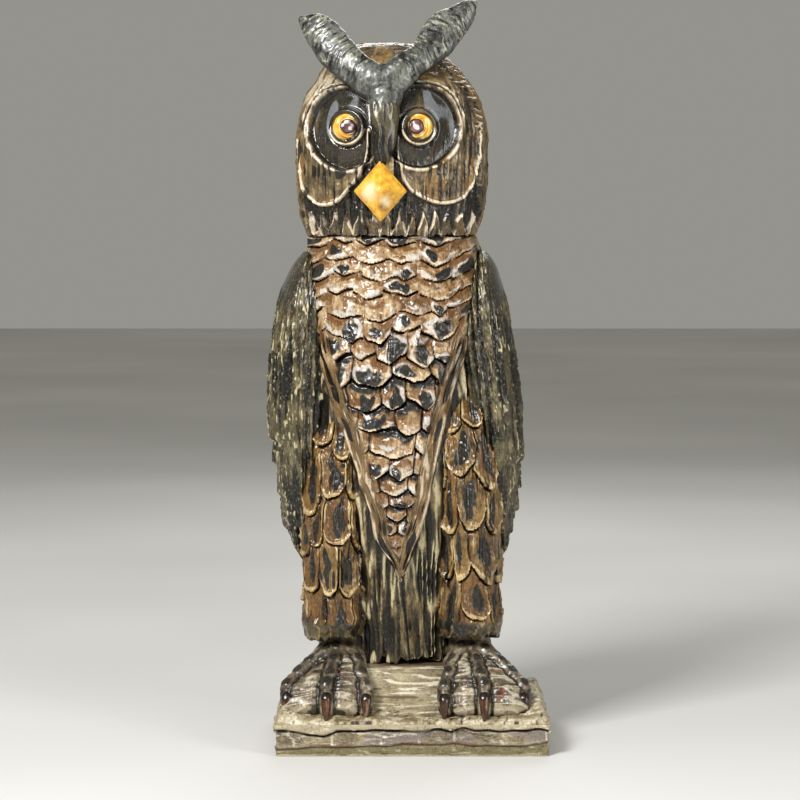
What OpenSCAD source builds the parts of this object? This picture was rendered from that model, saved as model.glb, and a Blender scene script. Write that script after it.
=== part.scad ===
// Horned owl carved in wood, standing on a hewn plinth. Millimetres, +Z up, front towards -Y.
// The carver builds it up from blocks: a trunk with a breast bib, head, wings, legs and tail
// seated on it, all held by glued dowels on a base slab. Neighbours are cut to each other's shape.

/* [Base] */
// Width of the base slab
base_w = 175; // [170:0.1:184]
// Depth of the base slab, front to back
base_d = 130; // [126:1:150]
// Height of the base slab
slab_h = 21; // [18:1:23]
// How far the base sits to the right of the frame's middle
base_x = 3.5; // [3:0.1:4]

/* [Body] */
// Height of the point of the taller tuft above the table
figure_h = 480; // [470:1:500]
// Width of the trunk without the wings
trunk_w = 125; // [118:1:130]
// Depth of the trunk
trunk_d = 96; // [90:1:100]
// How far each wing reaches from the middle of the body
wing_reach = 84; // [82:0.1:84.1]
// Width of the breast bib at its top
bib_w = 112; // [100:1:116]
// How far the bib stands proud of the trunk
bib_t = 10; // [8:0.5:12]
// Rows of carved scales on the bib
bib_rows = 16; // [10:1:18]

/* [Head] */
// Width of the head
head_w = 123.6; // [116:0.1:128]
// Depth of the head
head_d = 98; // [94:1:104]
// Radius of an eye
eye_r = 9.4; // [8:0.1:11]
// Distance between the middles of the eyes
eye_gap = 47; // [44:0.5:50]

/* [Legs] */
// Distance from the middle of the legs to the middle of each thigh
leg_out = 44; // [42:0.5:46]
// Distance from the middle of the feet to each toe, inner toe first
toe_out = [25, 50.4, 76];
// Dowel radius for the neck and the trunk
dowel_r = 7; // [5:0.5:8]

/* [Hidden] */
LEFT = -1;
RIGHT = 1;
ring_fn = 32;
ball_fn = 16;
claw_fn = 12;
skin = 0.02;        // height of the thin slice that a loft is drawn through
glue = 0.15;        // gap for glue round a dowel
peg_r = 4;
thin_peg_r = 3;

// Levels, as shares of the figure's height
trunk_z = 0.109 * figure_h;
neck_z = 0.6875 * figure_h;
crown_z = 0.948 * figure_h;
eye_z = 0.8325 * figure_h;
brow_z = 0.888 * figure_h;
beak_z = 0.748 * figure_h;
bib_tip_z = 0.227 * figure_h;
wing_tip_z = 0.2375 * figure_h;
wing_top_z = 0.667 * figure_h;
thigh_z = 0.146 * figure_h;
thigh_top_z = 0.49 * figure_h;
ankle_z = 0.16 * figure_h;

// The figure leans: each part has its own middle in x, and its own middle in y
foot_x = -0.8;
leg_x = -4;
body_x = -7;
trunk_x = -8;
head_x = -9.4;
face_x = -15;
body_y = 4;
head_y = 0;
leg_y = -8;

// Profiles, bottom first: [share of height, share of width, share of depth, shift in x, shift in y]
trunk_profile = [
    [0, 0.48, 0.60, 0.06, 0.02], [0.07, 0.53, 0.64, 0.05, 0.02], [0.16, 0.63, 0.72, 0.04, 0.01],
    [0.32, 0.82, 0.86, 0.02, 0], [0.45, 0.93, 0.95, 0, 0], [0.6, 0.99, 0.99, 0, 0],
    [0.75, 1, 1, 0, 0], [0.87, 0.97, 0.95, 0, 0], [0.95, 0.92, 0.85, 0, 0.01], [1, 0.85, 0.77, 0, 0.01]
];
head_profile = [
    [0, 0.86, 0.9, 0, 0], [0.07, 0.93, 0.95, 0, 0], [0.2, 0.98, 0.98, 0, 0], [0.38, 1, 1, 0, 0],
    [0.55, 0.99, 0.99, 0, 0], [0.7, 0.92, 0.93, 0, 0], [0.8, 0.81, 0.85, 0, 0.01],
    [0.89, 0.69, 0.72, -0.02, 0.03], [0.95, 0.55, 0.58, -0.03, 0.05],
    [0.985, 0.41, 0.44, -0.05, 0.07], [1, 0.28, 0.32, -0.06, 0.08]
];
// Wing: [share of height, middle out, half thickness, middle in y, half depth], out as shares of reach
wing_profile = [
    [0, 0.69, 0.05, 20, 11], [0.06, 0.71, 0.12, 17, 24], [0.17, 0.735, 0.18, 13, 34],
    [0.26, 0.735, 0.215, 11, 38], [0.35, 0.735, 0.235, 10, 42], [0.52, 0.735, 0.265, 8, 45],
    [0.72, 0.715, 0.255, 8, 43], [0.84, 0.69, 0.22, 8, 39], [0.92, 0.66, 0.175, 8, 32],
    [1, 0.63, 0.11, 8, 20]
];
// Thigh: [share of height, shift outwards, half width, middle in y, half depth]
thigh_profile = [
    [0, 0, 18, 0, 24], [0.05, 0, 21, 0, 27], [0.2, 0, 21.5, 0, 29], [0.4, -1, 23, 1, 31],
    [0.6, -2, 25, 2, 34], [0.8, -5, 24, 4, 34], [1, -10, 16, 8, 31]
];
// Tail, behind: [height, half width, middle in y, half depth]
tail_profile = [
    [0.055, 23, 45, 10], [0.09, 25, 44.5, 12], [0.16, 28, 43, 14], [0.24, 31, 42, 15],
    [0.32, 33, 41, 15], [0.39, 32, 41, 14], [0.45, 26, 41, 12]
];
// Bib outline from its tip: [share of height, share of half width]
bib_edge = [
    [0, 0.02], [0.11, 0.23], [0.185, 0.3], [0.3, 0.43], [0.4, 0.54], [0.54, 0.74],
    [0.67, 0.9], [0.82, 0.99], [1, 1]
];
bib_h = neck_z - bib_tip_z;
bib_top_x = -9;
bib_tip_x = -4;

// Table values for placing things on a lofted skin
function rows(profile, z0, z1, w, d, x, y) = [
    for (p = profile)
        [z0 + p[0] * (z1 - z0), x + p[3] * w / 2, p[1] * w / 2, y + p[4] * d / 2, p[2] * d / 2]
];
function column(table, i) = [for (r = table) [r[0], r[i]]];
function at(table, i, z) = lookup(z, column(table, i));
function front_y(table, x, z) =
    let (s = min(0.98, abs(x - at(table, 1, z)) / at(table, 2, z)))
        at(table, 3, z) - at(table, 4, z) * sqrt(1 - s * s);
function back_y(table, x, z) = 2 * at(table, 3, z) - front_y(table, x, z);
function yaw_at(table, x, z) = asin(max(-0.9, min(0.9, (x - at(table, 1, z)) / at(table, 2, z))));

trunk_rows = rows(trunk_profile, trunk_z, neck_z, trunk_w, trunk_d, trunk_x, body_y);
head_rows = rows(head_profile, neck_z, crown_z, head_w, head_d, head_x, head_y);
function wing_rows(side) = [
    for (p = wing_profile) [
        wing_tip_z + p[0] * (wing_top_z - wing_tip_z),
        body_x + side * p[1] * wing_reach, p[2] * wing_reach, p[3], p[4]
    ]
];
function thigh_rows(side) = [
    for (p = thigh_profile) [
        thigh_z + p[0] * (thigh_top_z - thigh_z),
        leg_x + side * (leg_out + p[1]), p[2], leg_y + p[3], p[4]
    ]
];
tail_rows = [for (p = tail_profile) [p[0] * figure_h, body_x, p[1], p[2], p[3]]];

// Elliptical slices joined one after another
module slice(r) {
    translate([r[1], r[3], r[0]])
        scale([r[2], r[4], 1])
            cylinder(h = skin, r = 1, $fn = ring_fn);
}
module loft(table) {
    for (i = [0 : len(table) - 2])
        hull() {
            slice(table[i]);
            slice(table[i + 1]);
        }
}
// A tapering limb through [x, y, z, radius] stations
module limb(stations, fn = ball_fn) {
    for (i = [0 : len(stations) - 2])
        hull()
            for (s = [stations[i], stations[i + 1]])
                translate([s[0], s[1], s[2]])
                    sphere(r = s[3], $fn = fn);
}
// One carved scale: a tile with a pointed lower lip that stands proud
module scale_tile(w, h, lip, tilt, yaw) {
    rotate([0, 0, yaw])
        rotate([90 - tilt, 0, 0])
            linear_extrude(lip)
                polygon([
                    [-0.5 * w, 0.5 * h], [0.5 * w, 0.5 * h], [0.5 * w, -0.22 * h],
                    [0, -0.5 * h], [-0.5 * w, -0.22 * h]
                ]);
}

// ---- plain shapes that neighbours are cut by ----
module trunk_form() {
    loft(trunk_rows);
}
module head_form() {
    loft(head_rows);
}
function bib_mid(s) = bib_tip_x + s * (bib_top_x - bib_tip_x);
module bib_outline() {
    polygon(concat(
        [for (e = bib_edge) [bib_mid(e[0]) - e[1] * bib_w / 2, bib_tip_z + e[0] * bib_h]],
        [for (i = [len(bib_edge) - 1 : -1 : 0])
            let (e = bib_edge[i])
                [bib_mid(e[0]) + e[1] * bib_w / 2, bib_tip_z + e[0] * bib_h]]
    ));
}
module bib_form() {
    intersection() {
        translate([0, -bib_t, 0]) trunk_form();
        rotate([90, 0, 0]) linear_extrude(trunk_d) bib_outline();
    }
}
module wing_form(side) {
    loft(wing_rows(side));
}
module thigh_form(side) {
    loft(thigh_rows(side));
}
ankle_out = 42;
ankle_r = 15;
ankle_y = -12;
toe_y = [-51.5, -55, -46.5];
toe_z = [33, 34.5, 33];
toe_r = [7, 7.5, 7];
module foot_form(side) {
    ankle = [foot_x + side * ankle_out, ankle_y];
    // Shank, straight down into the ground
    limb([
        [ankle[0], ankle[1], ankle_z, ankle_r - 1],
        [ankle[0], ankle[1], 0.6 * ankle_z, ankle_r + 1],
        [ankle[0], ankle[1] - 2, slab_h + 10, ankle_r + 4]
    ]);
    for (i = [0 : 2]) {
        end_x = foot_x + side * toe_out[i];
        knuckle_x = (ankle[0] + end_x) / 2 + side * (i - 1) * 3;
        limb([
            [ankle[0], ankle[1] - 4, 0.55 * ankle_z + 10, 11],
            [knuckle_x, (ankle[1] + toe_y[i]) / 2 - 2, toe_z[i] + 10, 8.5],
            [end_x, toe_y[i], toe_z[i], toe_r[i]]
        ]);
    }
    // Web of skin between the toes
    hull()
        for (i = [0 : 2])
            translate([foot_x + side * toe_out[i] * 0.97, toe_y[i] + 7, slab_h + 10])
                sphere(r = 5, $fn = ball_fn);
    hull() {
        translate([ankle[0], ankle[1], slab_h + 12]) sphere(r = 14, $fn = ball_fn);
        for (i = [0 : 2])
            translate([foot_x + side * toe_out[i] * 0.95, toe_y[i] + 10, slab_h + 11])
                sphere(r = 4, $fn = ball_fn);
    }
}
module claw_form(side, i) {
    x = foot_x + side * toe_out[i];
    limb([
        [x, toe_y[i] - 3.2, toe_z[i] + 1, 4.2],
        [x, toe_y[i] - 5.6, toe_z[i] - 5, 3.4],
        [x, toe_y[i] - 5.2, slab_h + 2.2, 1.6]
    ], claw_fn);
}
block_w = 46;
module support_form() {
    // Raw wood left standing between the feet, wider and further forward at its foot
    hull() {
        translate([leg_x - block_w / 2 + 4, -24, trunk_z - 1]) cube([block_w - 8, 50, 1]);
        translate([leg_x - block_w / 2 + 2, -34, slab_h + 14]) cube([block_w - 4, 62, 1]);
    }
    hull() {
        translate([leg_x - block_w / 2 + 2, -34, slab_h + 14]) cube([block_w - 4, 62, 1]);
        translate([leg_x - block_w / 2, -52, slab_h]) cube([block_w, 82, 1]);
    }
}
// Ground: [share of base width, height over the slab]
ground_line = [
    [-0.5, 10], [-0.4, 8.5], [-0.28, 5], [-0.14, 4], [0, 4], [0.14, 4.5], [0.28, 7],
    [0.4, 9.5], [0.5, 9]
];
module ground_section(x, h) {
    edge = base_d / 2 - 1.5;
    translate([x, 0, slab_h])
        rotate([90, 0, 90])
            linear_extrude(skin)
                polygon([
                    [-edge, 0], [-edge, 1.5], [-edge + 12, 0.6 * h], [-edge + 26, h],
                    [edge - 12, h], [edge, 2], [edge, 0]
                ]);
}
module ground_form() {
    inner_w = base_w - 3;
    for (i = [0 : len(ground_line) - 2])
        hull() {
            ground_section(base_x + ground_line[i][0] * inner_w, ground_line[i][1]);
            ground_section(base_x + ground_line[i + 1][0] * inner_w, ground_line[i + 1][1]);
        }
}
module below_slab_top() {
    translate([base_x - base_w, -base_d, 0]) cube([2 * base_w, 2 * base_d, slab_h + 1]);
}
module tail_form() {
    loft(tail_rows);
}

// ---- dowels and their holes; play is 0 for the dowel and the glue gap for its hole ----
dowel_x = -4;
dowel_y = 6;
module neck_dowel_form(play) {
    translate([head_x, 0, neck_z - 40 - play])
        cylinder(h = 80 + 2 * play, r = dowel_r + play);
}
module trunk_dowel_form(play) {
    translate([dowel_x, dowel_y, 7 - play])
        cylinder(h = trunk_z + 50 + 2 * play, r = dowel_r + play);
}
leg_peg_r = 5;
module leg_dowel_form(side, play) {
    translate([foot_x + side * (ankle_out + 0.5), ankle_y + 1, 7 - play])
        cylinder(h = thigh_z + 30 + 2 * play, r = leg_peg_r + play);
}
wing_peg_z = [0.4 * figure_h, 0.575 * figure_h];
module wing_pegs_form(side, play) {
    for (z = wing_peg_z)
        translate([body_x + side * 0.56 * wing_reach, 9, z])
            rotate([0, side * 90, 0])
                cylinder(h = 0.32 * wing_reach, r = peg_r + play);
}
thin_peg_h = 22;
thin_peg_in = 16;   // how deep a thin peg sits in the trunk
bib_peg_z = [0.42 * figure_h, 0.6 * figure_h];
module bib_pegs_form(play) {
    for (z = bib_peg_z)
        translate([bib_top_x, front_y(trunk_rows, bib_top_x, z) + thin_peg_in, z])
            rotate([90, 0, 0])
                cylinder(h = thin_peg_h, r = thin_peg_r + play);
}
tail_peg_z = [0.24 * figure_h, 0.36 * figure_h];
module tail_pegs_form(play) {
    for (z = tail_peg_z)
        translate([body_x, back_y(trunk_rows, body_x, z) - thin_peg_in, z])
            rotate([-90, 0, 0])
                cylinder(h = thin_peg_h, r = thin_peg_r + play);
}
brow_peg_out = 17;
brow_peg_y = -20;
brow_peg_h = 21;
module brow_pegs_form(play) {
    for (side = [LEFT, RIGHT])
        translate([face_x + side * brow_peg_out, brow_peg_y, brow_z + 9])
            rotate([90, 0, 0])
                cylinder(h = brow_peg_h, r = thin_peg_r + play);
}
beak_peg_y = -34;
beak_peg_h = 20;
module beak_peg_form(play) {
    translate([face_x, beak_peg_y, beak_z])
        rotate([90, 0, 0])
            cylinder(h = beak_peg_h, r = thin_peg_r + play);
}

// ---- eyes, each a turned button with a stem ----
function eye_x(side) = face_x - 0.3 + side * eye_gap / 2;
function eye_face_y(side) = front_y(head_rows, eye_x(side), eye_z) + 1;
module eye_place(side) {
    translate([eye_x(side), eye_face_y(side), eye_z])
        rotate([90, 0, yaw_at(head_rows, eye_x(side), eye_z) * 0.6])
            children();
}
stem_r = 3;
stem_foot = -14;
eye_back = -4;
module eye_form(play) {
    // Domed face on a stem
    rotate_extrude()
        polygon([
            [0, stem_foot - play], [stem_r + play, stem_foot - play],
            [stem_r + play, eye_back - play], [eye_r + play, eye_back - play],
            [eye_r + play, 0.5], [0.8 * eye_r, 3.2], [0.45 * eye_r, 4.6], [0, 5]
        ]);
}
pupil_r = 0.52 * eye_r;
module pupil_form(side, play) {
    translate([-side * 0.28 * eye_r, 0.05 * eye_r, 1.5 - play])
        rotate_extrude()
            polygon([
                [0, 0], [pupil_r + play, 0], [pupil_r + play, 3.4], [0.6 * pupil_r, 4.6], [0, 5]
            ]);
}
// Round dish carved round each eye
disc_r = 26;
module eye_dish(side) {
    eye_place(side)
        translate([side * 1.5, -1, -2.5])
            cylinder(h = 12, r1 = disc_r - 6, r2 = disc_r + 8, $fn = 40);
}

beak_w = 33;
beak_h = 37;
module beak_form() {
    y0 = -40;
    ridge_y = -62;
    z = beak_z;
    polyhedron(
        points = [
            [face_x, y0, z + beak_h / 2], [face_x + beak_w / 2, y0, z + 1],
            [face_x, y0, z - beak_h / 2], [face_x - beak_w / 2, y0, z + 1],
            [face_x, ridge_y + 9, z + beak_h / 2], [face_x + beak_w / 2, ridge_y + 12, z + 1],
            [face_x, ridge_y + 9, z - beak_h / 2], [face_x - beak_w / 2, ridge_y + 12, z + 1],
            [face_x, ridge_y, z + 1]
        ],
        faces = [
            [3, 2, 1, 0], [0, 1, 5], [0, 5, 4], [1, 2, 6], [1, 6, 5], [2, 3, 7], [2, 7, 6],
            [3, 0, 4], [3, 4, 7], [4, 5, 8], [5, 6, 8], [6, 7, 8], [7, 4, 8]
        ]
    );
}

// Stations of the nose bridge and of the two tufts, the right one longer: x, y, z, radius
nose_line = [
    [face_x, -46, beak_z + 16, 7], [face_x, -48, eye_z + 8, 8.5], [face_x, -47, brow_z - 2, 12]
];
left_tuft_line = [
    [face_x, -46, brow_z - 1, 12], [face_x - 19, -43, brow_z + 7, 11],
    [face_x - 37, -32, brow_z + 23, 10], [face_x - 48, -24, brow_z + 36, 7.5],
    [face_x - 53, -20, brow_z + 41.5, 3]
];
right_tuft_line = [
    [face_x, -46, brow_z - 1, 12], [face_x + 19, -42, brow_z + 9, 11],
    [face_x + 37, -30, brow_z + 28, 9.5], [face_x + 49, -20, brow_z + 42, 7.5],
    [face_x + 56.5, -15, figure_h - 3, 3]
];
module brow_form() {
    for (line = [nose_line, left_tuft_line, right_tuft_line]) limb(line);
}

// ---- sub-parts ----
module base_slab() {
    corner = 6;
    color("dimgray")
        difference() {
            translate([base_x, 0, 0])
                union() {
                    translate([-base_w / 2 + corner, -base_d / 2, 0])
                        cube([base_w - 2 * corner, base_d, slab_h]);
                    translate([-base_w / 2, -base_d / 2 + corner, 0])
                        cube([base_w, base_d - 2 * corner, slab_h]);
                    for (sx = [-1, 1], sy = [-1, 1])
                        translate([sx * (base_w / 2 - corner), sy * (base_d / 2 - corner), 0])
                            cylinder(h = slab_h, r = corner);
                }
            trunk_dowel_form(glue);
            for (side = [LEFT, RIGHT]) leg_dowel_form(side, glue);
        }
}
module ground_block() {
    color("tan")
        difference() {
            ground_form();
            support_form();
            for (side = [LEFT, RIGHT]) leg_dowel_form(side, glue);
        }
}
module support_block() {
    color("wheat")
        difference() {
            support_form();
            for (side = [LEFT, RIGHT]) foot_form(side);
            trunk_dowel_form(glue);
        }
}
module trunk() {
    color("olivedrab")
        difference() {
            trunk_form();
            neck_dowel_form(glue);
            trunk_dowel_form(glue);
            bib_pegs_form(glue);
            tail_pegs_form(glue);
            for (side = [LEFT, RIGHT]) wing_pegs_form(side, glue);
        }
}
module tail() {
    color("darkolivegreen")
        difference() {
            tail_form();
            trunk_form();
            ground_form();
            support_form();
            tail_pegs_form(glue);
        }
}
bib_scale_w = 17;
bib_border = 5;
module bib_scales() {
    pitch = 0.93 * bib_h / bib_rows;
    for (row = [0 : bib_rows - 1]) {
        z = neck_z - (row + 0.55) * pitch;
        s = (z - bib_tip_z) / bib_h;
        half = lookup(s, bib_edge) * bib_w / 2 - bib_border;
        count = max(1, round(2 * half / bib_scale_w));
        w = 2 * half / count;
        for (k = [0 : count - 1]) {
            x = bib_mid(s) - half + (k + 0.5) * w;
            translate([x, front_y(trunk_rows, x, z) - bib_t + 1.5, z])
                scale_tile(w * 0.94, pitch * 1.25, 5, 14, yaw_at(trunk_rows, x, z));
        }
    }
}
module breast_bib() {
    color("peru")
        difference() {
            union() {
                bib_form();
                bib_scales();
            }
            trunk_form();
            head_form();
            bib_pegs_form(glue);
        }
}
module head() {
    color("darkkhaki")
        difference() {
            head_form();
            for (side = [LEFT, RIGHT]) {
                eye_dish(side);
                eye_place(side) eye_form(glue);
            }
            beak_form();
            beak_peg_form(glue);
            neck_dowel_form(glue);
            brow_pegs_form(glue);
        }
}
module brow_tufts() {
    color("darkslategray")
        difference() {
            brow_form();
            head_form();
            beak_form();
            brow_pegs_form(glue);
        }
}
module beak() {
    color("goldenrod")
        difference() {
            beak_form();
            beak_peg_form(glue);
        }
}
module eye(side) {
    color("gold")
        eye_place(side)
            difference() {
                eye_form(0);
                pupil_form(side, 0);
            }
}
module pupil(side) {
    color("indigo")
        eye_place(side) pupil_form(side, 0);
}
// Three long feathers end one above another along the wing's outer edge.
// Each: height of its tip over the wing's, how far out its foot and its head are, middle in y
wing_steps = [[22, 73, 75, -6], [44, 77.5, 78, -3], [66, 79, 79, 0]];
step_h = 26;
module wing_steps(side) {
    for (s = wing_steps)
        limb([
            [body_x + side * s[1], s[3], wing_tip_z + s[0], 4.2],
            [body_x + side * s[2], s[3] + 2, wing_tip_z + s[0] + step_h, 4.6]
        ]);
}
module wing(side) {
    color("darkslategray")
        difference() {
            union() {
                wing_form(side);
                wing_steps(side);
            }
            trunk_form();
            bib_form();
            thigh_form(side);
            head_form();
            wing_pegs_form(side, glue);
        }
}
thigh_scale_w = 13.5;
module thigh_scales(side) {
    table = thigh_rows(side);
    pitch = 27;
    for (row = [0 : 3], k = [-1 : 1]) {
        z = thigh_z + 16 + (row + (k == 0 ? 0.5 : 0)) * pitch;
        x = at(table, 1, z) + k * (thigh_scale_w - 1);
        translate([x, front_y(table, x, z) + 1.5, z])
            scale_tile(thigh_scale_w, pitch * 1.08, 3.6, 4, yaw_at(table, x, z));
    }
}
module thigh(side) {
    color("sienna")
        difference() {
            union() {
                thigh_form(side);
                thigh_scales(side);
            }
            trunk_form();
            bib_form();
            support_form();
            leg_dowel_form(side, glue);
        }
}
module foot(side) {
    color("dimgray")
        difference() {
            foot_form(side);
            thigh_form(side);
            trunk_form();
            ground_form();
            below_slab_top();
            for (i = [0 : 2]) claw_form(side, i);
            leg_dowel_form(side, glue);
        }
}
module claw(side, i) {
    color("saddlebrown")
        difference() {
            claw_form(side, i);
            ground_form();
        }
}
module neck_dowel() {
    color("burlywood") neck_dowel_form(0);
}
module trunk_dowel() {
    color("burlywood") trunk_dowel_form(0);
}
module leg_dowel(side) {
    color("burlywood") leg_dowel_form(side, 0);
}
module wing_pegs(side) {
    color("burlywood") wing_pegs_form(side, 0);
}
module bib_pegs() {
    color("burlywood") bib_pegs_form(0);
}
module tail_pegs() {
    color("burlywood") tail_pegs_form(0);
}
module brow_pegs() {
    color("burlywood") brow_pegs_form(0);
}
module beak_peg() {
    color("burlywood") beak_peg_form(0);
}

base_slab();
ground_block();
support_block();
trunk();
tail();
breast_bib();
head();
brow_tufts();
beak();
eye(LEFT);  // eye_left
eye(RIGHT);  // eye_right
pupil(LEFT);  // pupil_left
pupil(RIGHT);  // pupil_right
wing(LEFT);  // wing_left
wing(RIGHT);  // wing_right
thigh(LEFT);  // thigh_left
thigh(RIGHT);  // thigh_right
foot(LEFT);  // foot_left
foot(RIGHT);  // foot_right
claw(LEFT, 0);  // claw_left_inner
claw(LEFT, 1);  // claw_left_middle
claw(LEFT, 2);  // claw_left_outer
claw(RIGHT, 0);  // claw_right_inner
claw(RIGHT, 1);  // claw_right_middle
claw(RIGHT, 2);  // claw_right_outer
neck_dowel();
trunk_dowel();
leg_dowel(LEFT);  // leg_dowel_left
leg_dowel(RIGHT);  // leg_dowel_right
wing_pegs(LEFT);  // wing_pegs_left
wing_pegs(RIGHT);  // wing_pegs_right
bib_pegs();
tail_pegs();
brow_pegs();
beak_peg();
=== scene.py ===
# %% [markdown]
# # A horned owl carved in wood
# The real figure is carved, scorched with a hot iron, stained and rubbed with a clear varnish.
# This lesson carves it again around the fixed frame: every piece starts as a plain lump at its
# own place, is pulled to shape through a few measured stations, and then gets its tool marks.
# The carving is worked out on all points of a mesh at once, because a chisel cut follows the
# place on the wood, not the edges of the mesh.

# %% Load the frame
import math
import bpy
import numpy as np
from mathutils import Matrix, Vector


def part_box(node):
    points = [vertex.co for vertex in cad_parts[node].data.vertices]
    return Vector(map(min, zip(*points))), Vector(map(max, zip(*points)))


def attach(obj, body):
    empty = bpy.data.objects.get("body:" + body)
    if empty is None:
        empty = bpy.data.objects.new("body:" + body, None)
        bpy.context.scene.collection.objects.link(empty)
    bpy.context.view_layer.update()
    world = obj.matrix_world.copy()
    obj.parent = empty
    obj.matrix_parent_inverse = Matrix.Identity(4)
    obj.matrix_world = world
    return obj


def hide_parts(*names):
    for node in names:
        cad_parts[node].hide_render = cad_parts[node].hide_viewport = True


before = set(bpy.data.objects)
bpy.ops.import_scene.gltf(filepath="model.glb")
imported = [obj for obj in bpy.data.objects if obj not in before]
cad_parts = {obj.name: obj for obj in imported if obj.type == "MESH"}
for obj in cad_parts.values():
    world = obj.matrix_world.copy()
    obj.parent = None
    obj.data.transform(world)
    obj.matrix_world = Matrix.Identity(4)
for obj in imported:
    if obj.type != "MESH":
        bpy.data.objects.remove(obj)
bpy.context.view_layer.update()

MM = 0.001


def box_of(node):
    """Lowest corner, highest corner and middle of a node, in millimetres."""
    low, high = (np.array(corner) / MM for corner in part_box(node))
    return low, high, (low + high) / 2


# %% [markdown]
# ## Lumps, stations and grain
# A carver starts from a block. Here the block is a ball of points: its poles go to the top and
# the foot of a piece, and its rings are pulled to measured stations. A closed ball stays closed
# however it is carved, which a sheet would not. The grain function gives every place in the wood
# its own repeatable unevenness, so two pieces never match and each run gives the same owl.

# %% Helpers for points
def clear_selection():
    if bpy.context.object and bpy.context.object.mode != "OBJECT":
        bpy.ops.object.mode_set(mode="OBJECT")
    bpy.ops.object.select_all(action="DESELECT")


def points_of(piece):
    flat = np.empty(len(piece.data.vertices) * 3, np.float32)
    piece.data.vertices.foreach_get("co", flat)
    return flat.reshape(-1, 3).astype(float) / MM


def put_points(piece, points):
    piece.data.vertices.foreach_set("co", (points * MM).astype(np.float32).ravel())
    piece.data.update()


def normals_of(piece):
    flat = np.empty(len(piece.data.vertices) * 3, np.float32)
    piece.data.vertex_normals.foreach_get("vector", flat)
    return flat.reshape(-1, 3).astype(float)


def mark(piece, **marks):
    """Stores a mark at each point, from 0 to 1: what the tools left, such as scorched and worn; deep, the
    dark stain and painted shade in the cuts; and painted highlights.
    """
    for name, values in marks.items():
        layer = piece.data.attributes.new(name, "FLOAT", "POINT")
        layer.data.foreach_set("value", np.clip(values, 0, 1).astype(np.float32))


def lump(name, around, up):
    """A ball, with the turn round it (0 is the front) and the rise up it (0 to 1) of each point."""
    clear_selection()
    bpy.ops.mesh.primitive_uv_sphere_add(segments=around, ring_count=up, radius=1)
    piece = bpy.context.object
    piece.name = piece.data.name = name
    unit = points_of(piece) * MM
    turn = np.arctan2(unit[:, 0], -unit[:, 1])
    rise = np.arccos(np.clip(-unit[:, 2], -1, 1)) / np.pi
    return piece, turn, rise


# %% Helpers for smooth shapes
def ease(low, high, x):
    s = np.clip((x - low) / (high - low), 0, 1)
    return s * s * (3 - 2 * s)


def through(t, stations, values):
    """A smooth curve through values given at stations."""
    stations, values = np.asarray(stations, float), np.asarray(values, float)
    slope = np.gradient(values, stations)
    i = np.clip(np.searchsorted(stations, t) - 1, 0, len(stations) - 2)
    w = stations[i + 1] - stations[i]
    s = np.clip((t - stations[i]) / w, 0, 1)
    return (
        values[i] * (1 + 2 * s) * (1 - s) ** 2 + values[i + 1] * s * s * (3 - 2 * s)
        + w * s * (1 - s) * (slope[i] * (1 - s) - slope[i + 1] * s)
    )


def chance(i, j, k, seed):
    """A repeatable number from 0 to 1 for each place of a lattice."""
    i, j, k = (np.asarray(n, np.int64) for n in (i, j, k))
    h = (i * 374761393 + j * 668265263 + k * 1442695041 + seed * 1274126177) & 0xFFFFFFFF
    h = ((h ^ (h >> 13)) * 1103515245) & 0xFFFFFFFF
    h = ((h ^ (h >> 16)) * 668265263) & 0xFFFFFFFF
    return ((h >> 8) & 0xFFFF) / 65535.0


def grain(points, size, seed=0):
    """Smooth unevenness from -1 to 1; size is how far apart its humps are, in millimetres."""
    q = points / np.asarray(size, float)
    cell = np.floor(q).astype(np.int64)
    f = q - cell
    f = f * f * (3 - 2 * f)
    total = np.zeros(len(q))
    for corner in range(8):
        d = [(corner >> axis) & 1 for axis in range(3)]
        w = np.ones(len(q))
        for axis in range(3):
            w = w * (f[:, axis] if d[axis] else 1 - f[:, axis])
        total += w * chance(cell[:, 0] + d[0], cell[:, 1] + d[1], cell[:, 2] + d[2], seed)
    return total * 2 - 1


def gouges(points, size, seed=0):
    """Long rounded cuts with sharp crests between them, from 0 in a cut to 1 on a crest."""
    return 1 - np.abs(grain(points, size, seed))


def facets(u, v, seed, spread=0.8):
    """Flat knife cuts: each cell has its own tilt. Gives its height and how near a border is."""
    cu, cv = np.floor(u), np.floor(v)
    near = np.full(len(u), 1e9)
    second = near.copy()
    height = np.zeros(len(u))
    for du in (-1, 0, 1):
        for dv in (-1, 0, 1):
            i, j = cu + du, cv + dv
            px = i + 0.5 + spread * (chance(i, j, 1, seed) - 0.5)
            py = j + 0.5 + spread * (chance(i, j, 2, seed) - 0.5)
            far = (u - px) ** 2 + (v - py) ** 2
            tilt = ((u - px) * (chance(i, j, 3, seed) - 0.5)
                    + (v - py) * (chance(i, j, 4, seed) - 0.5) + 0.4 * chance(i, j, 5, seed))
            closer = far < near
            second = np.where(closer, near, np.minimum(second, far))
            height = np.where(closer, tilt, height)
            near = np.where(closer, far, near)
    return height, np.sqrt(second) - np.sqrt(near)


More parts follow.
